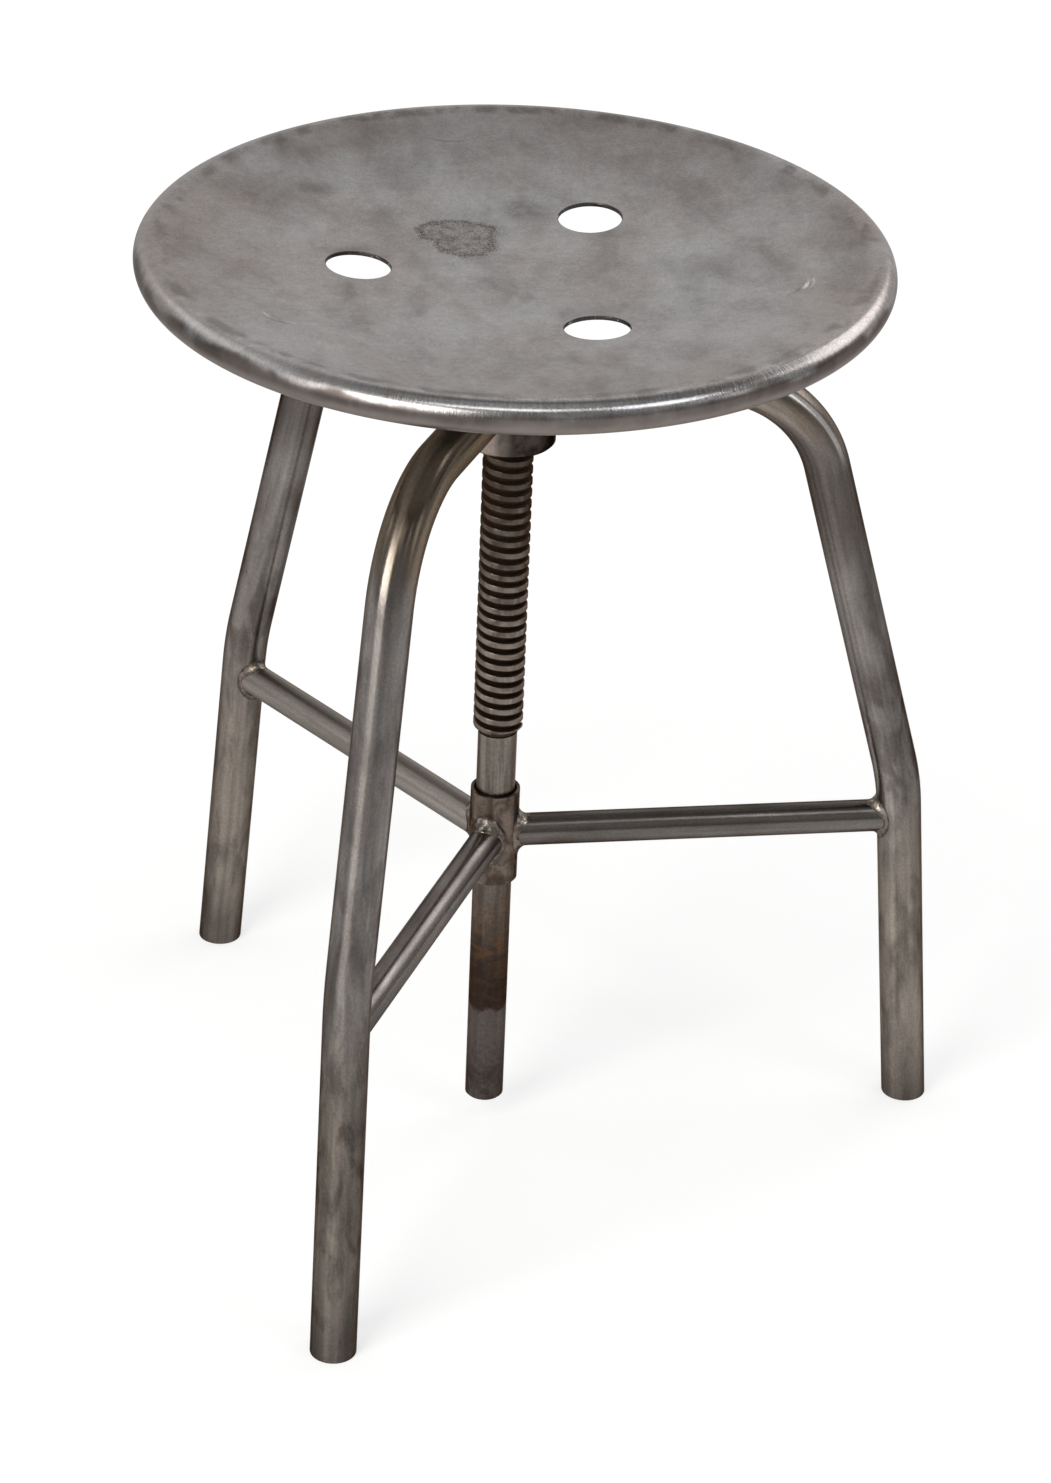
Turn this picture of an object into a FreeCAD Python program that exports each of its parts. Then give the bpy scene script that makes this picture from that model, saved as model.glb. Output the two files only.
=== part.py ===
import FreeCAD, Part
import math
import os

# Operating stool: a dished round steel seat on a lift screw, carried by a threaded hub on
# three bent tube legs. Below the screw a plain rod slides in a sleeve held by three spokes.
# Millimetres, +Z up. The origin is the spindle axis at floor level, and +X points along
# the right leg. The seat is modelled fully lowered, as it stands in use.

V = FreeCAD.Vector
UP = V(0, 0, 1)
ORIGIN = V(0, 0, 0)

# Seat: pressed sheet, rolled edge, three round holes.
SEAT_DIA = 350.0
SEAT_SHEET = 2.0
RIM_ROLL_R = 8.0
DISH_DEPTH = 16.0
SEAT_HOLES = 3
SEAT_HOLE_DIA = 30.0
SEAT_HOLE_CIRCLE_DIA = 144.0
SEAT_HOLE_HEADING = 54.0
FLANGE_DIA = 80.0
FLANGE_THICK = 4.0

# Lift screw: square right-hand thread under a stop collar.
SCREW_DIA = 24.0
THREAD_PITCH = 6.0
THREAD_DEPTH = 2.5
THREAD_CREST = 3.0
THREAD_CLEARANCE = 0.3
SCREW_CHAMFER = 3.0
THREAD_SLEEVE_GAP = 32.2
COLLAR_DIA = 36.0
COLLAR_HEIGHT = 10.0
STOP_GAP = 0.5

# Guide rod: its spigot turns freely in a socket in the screw's lower end.
ROD_DIA = 19.0
ROD_FLOOR_GAP = 12.7
ROD_CHAMFER = 1.0
ROD_GAP = 0.3
SPIGOT_DIA = 12.0
SPIGOT_LENGTH = 20.0
RUNNING_CLEARANCE = 0.05

# Hub: the threaded boss that the legs are welded to.
HUB_DIA = 44.0
HUB_BELOW_RUN = 29.0
HUB_ABOVE_RUN = 37.5
HUB_CHAMFER = 1.0

# Legs: bent tube. Radii are from the spindle axis to the tube's centre line. The knee's bend
# takes up its ease of tube on each side of the corner, and stays clear of the spoke's weld.
LEG_HEADINGS = {"front": -117.2, "right": 0.0, "left": 122.0}
LEG_DIA = 22.0
LEG_WALL = 2.0
LEG_RUN_HEIGHT = 405.0
LEG_SHOULDER_R = 139.5
LEG_SHOULDER_BEND = 63.0
LEG_KNEE_R = 200.0
LEG_KNEE_EASE = 5.5
KNEE_WELD_GAP = 1.7
LEG_FOOT_R = 216.5
LEG_LEAN = 1.0
FOOT_PLUG_LENGTH = 6.0

# Spokes and the guide sleeve that they hold.
SPOKE_DIA = 16.0
SPOKE_WALL = 1.5
SPOKE_HEIGHT = 164.3
SLEEVE_DIA = 24.0
SLEEVE_WALL = 1.5
SLEEVE_LENGTH = 49.0
BUSH_LENGTH = 25.0
BUSH_INSET = 4.0

# Fillet welds, by leg length.
HUB_WELD = 5.0
SPOKE_LEG_WELD = 5.0
SPOKE_SLEEVE_WELD = 6.0
SEAT_WELD = 3.0
COLLAR_WELD = 4.0

# Heights up the spindle, from the hub to the seat's rim.
HUB_BOTTOM = LEG_RUN_HEIGHT - HUB_BELOW_RUN
HUB_TOP = LEG_RUN_HEIGHT + HUB_ABOVE_RUN
COLLAR_BOTTOM = HUB_TOP + STOP_GAP
FLANGE_BOTTOM = COLLAR_BOTTOM + COLLAR_HEIGHT
PAN_UNDERSIDE = FLANGE_BOTTOM + FLANGE_THICK
DISH_BOTTOM = PAN_UNDERSIDE + SEAT_SHEET
RIM_TOP = DISH_BOTTOM + DISH_DEPTH
SLEEVE_BOTTOM = SPOKE_HEIGHT - SLEEVE_LENGTH / 2
SLEEVE_TOP = SLEEVE_BOTTOM + SLEEVE_LENGTH
THREAD_END = SLEEVE_TOP + THREAD_SLEEVE_GAP
ROD_TOP = THREAD_END - ROD_GAP
ROD_BOTTOM = ROD_FLOOR_GAP
LEG_KNEE_HEIGHT = SPOKE_HEIGHT + SPOKE_DIA / 2 + SPOKE_LEG_WELD + KNEE_WELD_GAP + LEG_KNEE_EASE
THREAD_ROOT_R = SCREW_DIA / 2 - THREAD_DEPTH

# The dish is a sphere that runs smoothly into the rolled edge.
ROLL_CENTRE_R = SEAT_DIA / 2 - RIM_ROLL_R
ROLL_CENTRE = V(ROLL_CENTRE_R, 0, RIM_TOP - RIM_ROLL_R)
DISH_DROP = DISH_DEPTH - RIM_ROLL_R
DISH_SPHERE_R = (ROLL_CENTRE_R**2 + DISH_DROP**2 - RIM_ROLL_R**2) / (2 * DISH_DEPTH)
DISH_CENTRE = V(0, 0, DISH_BOTTOM + DISH_SPHERE_R)


def polar(radius, degrees, centre=ORIGIN):
    """Point in the XZ plane, at an angle up from +X round a centre."""
    angle = math.radians(degrees)
    return centre + V(radius * math.cos(angle), 0, radius * math.sin(angle))


def arc(start, middle, end):
    return Part.Arc(start, middle, end).toShape()


def line(start, end):
    return Part.LineSegment(start, end).toShape()


def cylinder(radius, start, end):
    """Solid bar between two points."""
    return Part.makeCylinder(radius, (end - start).Length, start, end - start)


def upright(radius, low, high):
    return cylinder(radius, V(0, 0, low), V(0, 0, high))


def revolved(edges):
    """Solid of revolution round the spindle from edges in the XZ plane."""
    face = Part.Face(Part.Wire(edges))
    return face.revolve(ORIGIN, UP, 360)


def revolved_polygon(points):
    corners = [V(radius, 0, height) for radius, height in points]
    return revolved(Part.makePolygon(corners + corners[:1]).Edges)


def largest_solid(shape):
    return max(shape.Solids, key=lambda solid: solid.Volume)


def bend_radius(before, corner, after, ease):
    """Radius of a bend that takes up the given length of each run beside its corner."""
    return ease * math.tan((before - corner).getAngle(after - corner) / 2)


def bent_path(points, bends):
    """Straight runs through the points, with an arc of the given radius at each inner one."""
    edges = []
    start = points[0]
    for before, corner, after, radius in zip(points, points[1:], points[2:], bends):
        back = (before - corner).normalize()
        ahead = (after - corner).normalize()
        half_angle = back.getAngle(ahead) / 2
        tangent = radius / math.tan(half_angle)
        inward = (back + ahead).normalize()
        middle = corner + inward * (radius / math.sin(half_angle) - radius)
        edges.append(line(start, corner + back * tangent))
        edges.append(arc(corner + back * tangent, middle, corner + ahead * tangent))
        start = corner + ahead * tangent
    edges.append(line(start, points[-1]))
    return Part.Wire(edges)


def swept_bar(path, radius):
    """Solid bar along a path that starts in the +X direction."""
    circle = Part.Circle(path.Edges[0].firstVertex().Point, V(1, 0, 0), radius)
    return path.makePipeShell([Part.Wire(circle.toShape())], True, False)


def helical_ridge(low, high, width):
    """Square ridge winding up past both heights, in step with the screw, with its own faces in
    each turn. It reaches in past the root and out past the crest, to be trimmed."""
    inner_r = THREAD_ROOT_R - THREAD_DEPTH / 2
    outer_r = SCREW_DIA / 2 + THREAD_DEPTH / 2
    turns_down = math.ceil((THREAD_END - low) / THREAD_PITCH) + 2
    bottom = THREAD_END - turns_down * THREAD_PITCH
    helix = Part.makeLongHelix(THREAD_PITCH, high - bottom + 2 * THREAD_PITCH, outer_r, 0.0)
    helix.translate(V(0, 0, bottom))
    corners = [
        V(inner_r, 0, bottom - width / 2),
        V(outer_r, 0, bottom - width / 2),
        V(outer_r, 0, bottom + width / 2),
        V(inner_r, 0, bottom + width / 2),
    ]
    section = Part.makePolygon(corners + corners[:1])
    return Part.Wire(helix.Edges).makePipeShell([section], True, True)


def fillet_weld(post, branch, post_r, branch_r, post_line, branch_line, size):
    """Ring of weld metal in the corner where a round branch meets a round post."""

    def from_line(point, axis):
        start, direction = axis
        return (point - start).cross(direction).Length / direction.Length

    def on_both(edge):
        points = edge.discretize(7)
        return all(
            abs(from_line(point, post_line) - post_r) < 1e-3
            and abs(from_line(point, branch_line) - branch_r) < 1e-3
            for point in points
        )

    joined = post.fuse(branch)
    seam = [edge for edge in joined.Edges if on_both(edge)]
    return largest_solid(joined.makeFillet(size, seam).cut([post, branch]))


def set_up(shape, heading):
    """Lean a leg sideways about its top run, and turn it to its heading."""
    leaned = shape.copy()
    leaned.rotate(V(0, 0, LEG_RUN_HEIGHT), V(1, 0, 0), LEG_LEAN)
    leaned.rotate(ORIGIN, UP, heading)
    return leaned


def turned(shape, heading):
    copy = shape.copy()
    copy.rotate(ORIGIN, UP, heading)
    return copy


def placed(point, heading):
    """Where a point of the leg's own plane stands once the leg is set up."""
    lean = FreeCAD.Rotation(V(1, 0, 0), LEG_LEAN)
    turn = FreeCAD.Rotation(UP, heading)
    pivot = V(0, 0, LEG_RUN_HEIGHT)
    return turn.multVec(pivot + lean.multVec(point - pivot))


# Leg centre line in its own plane, carried on below the floor to be cut off level.
SHOULDER = V(LEG_SHOULDER_R, 0, LEG_RUN_HEIGHT)
KNEE = V(LEG_KNEE_R, 0, LEG_KNEE_HEIGHT)
FOOT = V(LEG_FOOT_R, 0, 0)
SHANK = (FOOT - KNEE).normalize()
LEG_PATH = bent_path(
    [V(0, 0, LEG_RUN_HEIGHT), SHOULDER, KNEE, FOOT + SHANK * LEG_DIA],
    [LEG_SHOULDER_BEND, bend_radius(SHOULDER, KNEE, FOOT, LEG_KNEE_EASE)],
)
LEG_BAR = swept_bar(LEG_PATH, LEG_DIA / 2)
LEG_BORE = swept_bar(LEG_PATH, LEG_DIA / 2 - LEG_WALL)
FLOOR_SIZE = 4 * LEG_FOOT_R
UNDERGROUND = Part.makeBox(
    FLOOR_SIZE, FLOOR_SIZE, FLOOR_SIZE, V(-FLOOR_SIZE / 2, -FLOOR_SIZE / 2, -FLOOR_SIZE)
)
HUB_BAR = upright(HUB_DIA / 2, HUB_BOTTOM, HUB_TOP)
SLEEVE_BAR = upright(SLEEVE_DIA / 2, SLEEVE_BOTTOM, SLEEVE_TOP)


def make_seat_pan():
    tangent = math.degrees(math.atan2(DISH_CENTRE.z - ROLL_CENTRE.z, -ROLL_CENTRE.x))
    roll_middle = (tangent - 90.0) / 2
    inner_roll_r = RIM_ROLL_R - SEAT_SHEET
    under_r = DISH_SPHERE_R + SEAT_SHEET
    toward_rim = math.degrees(math.atan2(ROLL_CENTRE.z - DISH_CENTRE.z, ROLL_CENTRE.x))
    dish_middle = (toward_rim - 90.0) / 2
    edges = [
        arc(
            polar(DISH_SPHERE_R, -90, DISH_CENTRE),
            polar(DISH_SPHERE_R, dish_middle, DISH_CENTRE),
            polar(RIM_ROLL_R, tangent, ROLL_CENTRE),
        ),
        arc(
            polar(RIM_ROLL_R, tangent, ROLL_CENTRE),
            polar(RIM_ROLL_R, roll_middle, ROLL_CENTRE),
            polar(RIM_ROLL_R, -90, ROLL_CENTRE),
        ),
        line(polar(RIM_ROLL_R, -90, ROLL_CENTRE), polar(inner_roll_r, -90, ROLL_CENTRE)),
        arc(
            polar(inner_roll_r, -90, ROLL_CENTRE),
            polar(inner_roll_r, roll_middle, ROLL_CENTRE),
            polar(inner_roll_r, tangent, ROLL_CENTRE),
        ),
        arc(
            polar(inner_roll_r, tangent, ROLL_CENTRE),
            polar(under_r, dish_middle, DISH_CENTRE),
            polar(under_r, -90, DISH_CENTRE),
        ),
        line(polar(under_r, -90, DISH_CENTRE), polar(DISH_SPHERE_R, -90, DISH_CENTRE)),
    ]
    holes = []
    for index in range(SEAT_HOLES):
        hole = upright(SEAT_HOLE_DIA / 2, PAN_UNDERSIDE - SEAT_SHEET, RIM_TOP)
        hole.translate(V(SEAT_HOLE_CIRCLE_DIA / 2, 0, 0))
        holes.append(turned(hole, SEAT_HOLE_HEADING + index * 360.0 / SEAT_HOLES))
    return revolved(edges).cut(holes)


def make_seat_flange():
    """Disc whose top is dished to the underside of the pan."""
    disc = upright(FLANGE_DIA / 2, FLANGE_BOTTOM, RIM_TOP)
    bowl = Part.makeSphere(DISH_SPHERE_R + SEAT_SHEET, DISH_CENTRE)
    return disc.cut(bowl)


def make_seat_weld():
    """Fillet between the flange's edge and the pan."""
    under_r = DISH_SPHERE_R + SEAT_SHEET

    def under_pan(radius):
        return V(radius, 0, DISH_CENTRE.z - math.sqrt(under_r**2 - radius**2))

    inner = FLANGE_DIA / 2
    corner = under_pan(inner)
    toe = under_pan(inner + SEAT_WELD)
    root = V(inner, 0, max(corner.z - SEAT_WELD, FLANGE_BOTTOM))
    seam = arc(corner, under_pan(inner + SEAT_WELD / 2), toe)
    return revolved([seam, line(toe, root), line(root, corner)])


def make_lift_screw():
    bar = revolved_polygon(
        [
            (0, THREAD_END),
            (SCREW_DIA / 2 - SCREW_CHAMFER, THREAD_END),
            (SCREW_DIA / 2, THREAD_END + SCREW_CHAMFER),
            (SCREW_DIA / 2, COLLAR_BOTTOM),
            (0, COLLAR_BOTTOM),
        ]
    )
    core = upright(THREAD_ROOT_R, THREAD_END, COLLAR_BOTTOM).common(bar)
    ridge = helical_ridge(THREAD_END, COLLAR_BOTTOM, THREAD_CREST).common(bar)
    collar = upright(COLLAR_DIA / 2, COLLAR_BOTTOM, FLANGE_BOTTOM)
    socket_r = SPIGOT_DIA / 2 + RUNNING_CLEARANCE
    socket = upright(socket_r, THREAD_END, THREAD_END + SPIGOT_LENGTH)
    return largest_solid(core.fuse(ridge).fuse(collar).cut(socket))


def make_collar_weld():
    inner = COLLAR_DIA / 2
    return revolved_polygon(
        [(inner, FLANGE_BOTTOM), (inner + COLLAR_WELD, FLANGE_BOTTOM), (inner, FLANGE_BOTTOM - COLLAR_WELD)]
    )


def make_guide_rod():
    rod = ROD_DIA / 2
    spigot = SPIGOT_DIA / 2
    return revolved_polygon(
        [
            (0, ROD_BOTTOM),
            (rod - ROD_CHAMFER, ROD_BOTTOM),
            (rod, ROD_BOTTOM + ROD_CHAMFER),
            (rod, ROD_TOP),
            (spigot, ROD_TOP),
            (spigot, ROD_TOP + SPIGOT_LENGTH),
            (0, ROD_TOP + SPIGOT_LENGTH),
        ]
    )


def make_hub():
    """Boss with a thread that clears the screw's all round."""
    outer = HUB_DIA / 2
    boss = revolved_polygon(
        [
            (0, HUB_BOTTOM),
            (outer - HUB_CHAMFER, HUB_BOTTOM),
            (outer, HUB_BOTTOM + HUB_CHAMFER),
            (outer, HUB_TOP - HUB_CHAMFER),
            (outer - HUB_CHAMFER, HUB_TOP),
            (0, HUB_TOP),
        ]
    )
    bore = upright(THREAD_ROOT_R + THREAD_CLEARANCE, HUB_BOTTOM, HUB_TOP)
    groove = helical_ridge(HUB_BOTTOM, HUB_TOP, THREAD_CREST + 2 * THREAD_CLEARANCE)
    groove_r = SCREW_DIA / 2 + THREAD_CLEARANCE
    groove = groove.common(upright(groove_r, HUB_BOTTOM - THREAD_PITCH, HUB_TOP + THREAD_PITCH))
    return largest_solid(boss.cut(bore).cut(groove))


def make_guide_sleeve():
    return SLEEVE_BAR.cut(upright(SLEEVE_DIA / 2 - SLEEVE_WALL, SLEEVE_BOTTOM, SLEEVE_TOP))


def make_guide_bush():
    low = SLEEVE_BOTTOM + BUSH_INSET
    high = low + BUSH_LENGTH
    bore = upright(ROD_DIA / 2 + RUNNING_CLEARANCE, low, high)
    return upright(SLEEVE_DIA / 2 - SLEEVE_WALL, low, high).cut(bore)


def make_leg(heading):
    leg = set_up(LEG_BAR.cut(LEG_BORE), heading)
    return largest_solid(leg.cut([HUB_BAR, UNDERGROUND]))


def make_foot_plug(heading):
    """Disc that closes the tube's lower end, flush with it."""
    plug = cylinder(LEG_DIA / 2 - LEG_WALL, FOOT - SHANK * FOOT_PLUG_LENGTH, FOOT + SHANK * LEG_DIA)
    return set_up(plug, heading).cut(UNDERGROUND)


def make_hub_weld():
    run_end = V(HUB_DIA / 2 + 4 * HUB_WELD, 0, LEG_RUN_HEIGHT)
    run_start = V(0, 0, LEG_RUN_HEIGHT)
    return fillet_weld(
        HUB_BAR,
        cylinder(LEG_DIA / 2, run_start, run_end),
        HUB_DIA / 2,
        LEG_DIA / 2,
        (ORIGIN, UP),
        (run_start, V(1, 0, 0)),
        HUB_WELD,
    )


def spoke_ends(heading):
    """Spoke centre line, from the spindle to the centre of its leg."""
    drop = LEG_RUN_HEIGHT - SPOKE_HEIGHT
    along = (LEG_RUN_HEIGHT - drop / math.cos(math.radians(LEG_LEAN))) / SHANK.z
    end = placed(FOOT + SHANK * along, heading)
    return V(0, 0, end.z), end


def make_spoke(heading):
    start, end = spoke_ends(heading)
    bore = cylinder(SPOKE_DIA / 2 - SPOKE_WALL, start, end)
    leg = set_up(LEG_BAR, heading)
    return largest_solid(cylinder(SPOKE_DIA / 2, start, end).cut([bore, SLEEVE_BAR, leg]))


def make_spoke_leg_weld():
    start, end = spoke_ends(0)
    shank_foot = placed(FOOT, 0)
    shank_knee = placed(KNEE, 0)
    weld = fillet_weld(
        cylinder(LEG_DIA / 2, shank_foot, shank_knee + (shank_knee - shank_foot)),
        cylinder(SPOKE_DIA / 2, start, end),
        LEG_DIA / 2,
        SPOKE_DIA / 2,
        (shank_foot, shank_knee - shank_foot),
        (start, end - start),
        SPOKE_LEG_WELD,
    )
    return largest_solid(weld.cut(set_up(LEG_BAR, 0)))


def make_spoke_sleeve_weld():
    start, end = spoke_ends(0)
    return fillet_weld(
        SLEEVE_BAR,
        cylinder(SPOKE_DIA / 2, start, end),
        SLEEVE_DIA / 2,
        SPOKE_DIA / 2,
        (ORIGIN, UP),
        (start, end - start),
        SPOKE_SLEEVE_WELD,
    )


def build():
    nodes = {
        "seat_pan": make_seat_pan(),
        "seat_flange": make_seat_flange(),
        "seat_weld": make_seat_weld(),
        "lift_screw": make_lift_screw(),
        "collar_weld": make_collar_weld(),
        "guide_rod": make_guide_rod(),
        "threaded_hub": make_hub(),
        "guide_sleeve": make_guide_sleeve(),
        "guide_bush": make_guide_bush(),
    }
    welds = {
        "_hub_weld": make_hub_weld(),
        "_spoke_leg_weld": make_spoke_leg_weld(),
        "_spoke_sleeve_weld": make_spoke_sleeve_weld(),
    }
    for side, heading in LEG_HEADINGS.items():
        nodes[side + "_leg"] = make_leg(heading)
        nodes[side + "_foot_plug"] = make_foot_plug(heading)
        nodes[side + "_spoke"] = make_spoke(heading)
        for ending, weld in welds.items():
            nodes[side + ending] = turned(weld, heading)
    return nodes


os.makedirs("parts", exist_ok=True)
for name, shape in build().items():
    solid = largest_solid(shape)
    solid.exportStep("parts/" + name + ".step")
    print(name, "volume", round(solid.Volume, 1), "valid", solid.isValid())
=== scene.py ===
import math

import bmesh
import bpy
from bpy.props import FloatProperty, FloatVectorProperty, IntProperty, PointerProperty
from bpy.types import Operator, Panel, PropertyGroup
from mathutils import Matrix, Vector, noise
from mathutils.geometry import delaunay_2d_cdt


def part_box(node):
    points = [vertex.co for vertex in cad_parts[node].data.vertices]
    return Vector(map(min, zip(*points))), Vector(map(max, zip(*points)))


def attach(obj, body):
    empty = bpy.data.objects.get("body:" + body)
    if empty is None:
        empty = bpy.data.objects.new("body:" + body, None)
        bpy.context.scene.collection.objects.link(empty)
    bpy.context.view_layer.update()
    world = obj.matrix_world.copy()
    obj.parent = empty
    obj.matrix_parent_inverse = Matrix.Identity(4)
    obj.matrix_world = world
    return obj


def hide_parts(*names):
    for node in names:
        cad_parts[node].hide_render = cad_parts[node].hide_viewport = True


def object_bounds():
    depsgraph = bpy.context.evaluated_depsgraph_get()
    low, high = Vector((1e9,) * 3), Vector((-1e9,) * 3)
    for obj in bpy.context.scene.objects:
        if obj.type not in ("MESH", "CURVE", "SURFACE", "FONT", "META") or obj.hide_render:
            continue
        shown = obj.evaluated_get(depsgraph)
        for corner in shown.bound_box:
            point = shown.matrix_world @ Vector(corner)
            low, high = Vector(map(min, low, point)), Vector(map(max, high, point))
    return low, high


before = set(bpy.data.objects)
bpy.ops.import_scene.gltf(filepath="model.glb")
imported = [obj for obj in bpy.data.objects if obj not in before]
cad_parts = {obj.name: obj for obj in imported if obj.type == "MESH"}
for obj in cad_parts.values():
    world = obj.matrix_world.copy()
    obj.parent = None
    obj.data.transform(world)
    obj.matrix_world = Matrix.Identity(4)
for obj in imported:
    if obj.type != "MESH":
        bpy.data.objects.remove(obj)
CAD_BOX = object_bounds()

bl_info = {
    "name": "Operating stool",
    "version": (1, 0, 0),
    "blender": (4, 5, 0),
    "location": "3D View > Sidebar > Stool",
    "description": "Worn steel finishes, bent tubes, thread, welds and stage of an operating stool",
    "category": "Object",
}

MM = 0.001
ORIGIN = (0.0, 0.0, 0.0)
LEVEL = (1.0, 1.0, 0.0)
SIDES = ("front", "right", "left")
PAN_LOW, PAN_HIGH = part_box("seat_pan")
SCREW_LOW, SCREW_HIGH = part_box("lift_screw")
HUB_LOW, HUB_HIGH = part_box("threaded_hub")
SLEEVE_LOW, SLEEVE_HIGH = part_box("guide_sleeve")
ROD_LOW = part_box("guide_rod")[0]

# Where each tube's run is counted from, far enough apart that no two tubes share a pattern.
RUN_STARTS = {
    "front_leg": 0.0,
    "right_leg": 1.37,
    "left_leg": 2.74,
    "front_spoke": 5.0,
    "right_spoke": 5.91,
    "left_spoke": 6.82,
}


# Settings

def length(name, description, default):
    return FloatProperty(name=name, description=description, default=default, unit="LENGTH", precision=5)


def angle(name, description, degrees):
    return FloatProperty(name=name, description=description, default=math.radians(degrees), subtype="ANGLE")


def colour(name, description, default):
    return FloatVectorProperty(
        name=name, description=description, default=default, subtype="COLOR", size=3, min=0.0, max=1.0
    )


def share(name, description, default):
    return FloatProperty(
        name=name, description=description, default=default, subtype="FACTOR", min=0.0, max=1.0
    )


class SeatSettings(PropertyGroup):
    sheet: length("Sheet", "Thickness of the pressed sheet", 2.0 * MM)
    roll: length("Rim roll", "Outer radius of the rolled edge", 8.0 * MM)
    hole_radius: length("Hole radius", "Radius of each hole in the seat", 15.0 * MM)
    hole_circle: length("Hole circle", "Radius of the circle that the holes lie on", 72.0 * MM)
    hole_heading: angle("Hole heading", "Heading of the first hole from the right leg", 54.0)
    hole_edge: length("Hole edge", "Rounding of the holes' worn edges", 0.45 * MM)
    mesh_step: length("Mesh step", "Distance between points of the dish", 3.0 * MM)
    ripple: length("Ripple", "Height of the slow waves in the pressed sheet", 0.10 * MM)
    cool: colour("Cool steel", "Clean areas of the seat", (0.430, 0.421, 0.420))
    warm: colour("Warm steel", "Handled, browner areas of the seat", (0.386, 0.358, 0.348))
    # The dark steel also serves as painted shade at the rim's shoulder and in a band on its outer side.
    dark: colour("Dark steel", "Tarnished patches and stains", (0.130, 0.112, 0.104))
    under: colour("Rim underside", "Brown underside of the rolled rim", (0.205, 0.176, 0.160))
    gloss: share("Roughness", "Roughness of the dish", 0.40)


class FrameSettings(PropertyGroup):
    leg_radius: length("Leg tube", "Outer radius of the legs", 11.0 * MM)
    leg_wall: length("Leg wall", "Wall of the leg tube", 2.0 * MM)
    spoke_radius: length("Spoke tube", "Outer radius of the spokes", 8.0 * MM)
    spoke_wall: length("Spoke wall", "Wall of the spoke tube", 1.5 * MM)
    run_height: length("Leg run", "Height of the legs' top run", 405.0 * MM)
    shoulder_reach: length("Shoulder", "Shoulder corner, from the spindle", 139.5 * MM)
    shoulder_bend: length("Shoulder bend", "Radius of the shoulder bend", 63.0 * MM)
    knee_reach: length("Knee", "Knee corner, from the spindle", 200.0 * MM)
    knee_height: length("Knee height", "Height of the knee corner", 184.5 * MM)
    knee_bend: length("Knee bend", "Radius of the knee bend", 150.0 * MM)
    foot_reach: length("Foot", "Foot, from the spindle", 216.5 * MM)
    spoke_height: length("Spokes", "Height of the spokes", 164.3 * MM)
    lean: angle("Lean", "Sideways lean of each leg about its top run", 1.0)
    front_heading: angle("Front heading", "Heading of the front leg", -117.2)
    right_heading: angle("Right heading", "Heading of the right leg", 0.0)
    left_heading: angle("Left heading", "Heading of the left leg", 122.0)
    light: colour("Rubbed steel", "Rubbed, bright streaks along the tubes", (0.268, 0.247, 0.233))
    middle: colour("Tube steel", "Main tone of the tubes", (0.190, 0.172, 0.160))
    # The tarnish colour also serves as painted shade under the seat and on the front and right spokes.
    dark: colour("Tarnish", "Dark patches along the tubes", (0.070, 0.058, 0.052))
    shank: colour("Shank", "Browner, duller steel below the spokes", (0.262, 0.228, 0.196))
    gloss: share("Roughness", "Roughness of the tubes", 0.26)


class ScrewSettings(PropertyGroup):
    radius: length("Screw", "Outer radius of the thread", 12.0 * MM)
    pitch: length("Pitch", "Rise of the thread in one turn", 6.0 * MM)
    depth: length("Depth", "Depth of the thread", 2.5 * MM)
    crest: length("Crest", "Height of the thread's crest", 3.0 * MM)
    wear: length("Wear", "Rounding of the crest's worn edges", 0.35 * MM)
    collar: length("Collar", "Radius of the stop collar", 18.0 * MM)
    collar_height: length("Collar height", "Height of the stop collar", 10.0 * MM)
    socket: length("Socket", "Radius of the socket in the lower end", 6.05 * MM)
    socket_depth: length("Socket depth", "Depth of the socket in the lower end", 19.9 * MM)
    steps: IntProperty(name="Steps", description="Points of the thread in one turn", default=72, min=24)
    chamfer: length("Chamfer", "Chamfer of the screw's lower end", 3.0 * MM)
    crest_colour: colour("Crest", "Rubbed crest of the thread", (0.222, 0.185, 0.159))
    groove_colour: colour("Groove", "Old grease in the thread's groove", (0.062, 0.037, 0.024))
    rust: colour("Rust", "Rust stain on the rod and the screw", (0.027, 0.013, 0.008))


class StageSettings(PropertyGroup):
    distance: length("Distance", "Camera's distance from the spindle, along the floor", 2.09926)
    height: length("Height", "Camera's height", 1.38513)
    turn: angle("Turn", "Heading of the camera's view from the stool's own", -7.645)
    yaw: angle("Yaw", "Camera's turn off the spindle", 0.3724)
    pitch: angle("Pitch", "Camera's tilt below the horizon", -29.1464)
    roll: angle("Roll", "Camera's roll", -2.3778)
    focal: FloatProperty(
        name="Focal length", description="Focal length on a 36 mm high frame", default=120.82, unit="CAMERA"
    )
    floor: colour("Floor", "Colour of the floor and the surround", (1.0, 1.0, 1.0))
    sky: share("Ceiling", "Brightness of the room above the stool", 0.36)
    zenith: share("Zenith", "Brightness of the room straight above the stool", 0.46)
    front: share("Front", "Brightness of the room on the camera's side", 0.38)


GROUPS = {
    "stool_seat": SeatSettings,
    "stool_frame": FrameSettings,
    "stool_screw": ScrewSettings,
    "stool_stage": StageSettings,
}


# Colours of small areas and marks

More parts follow.
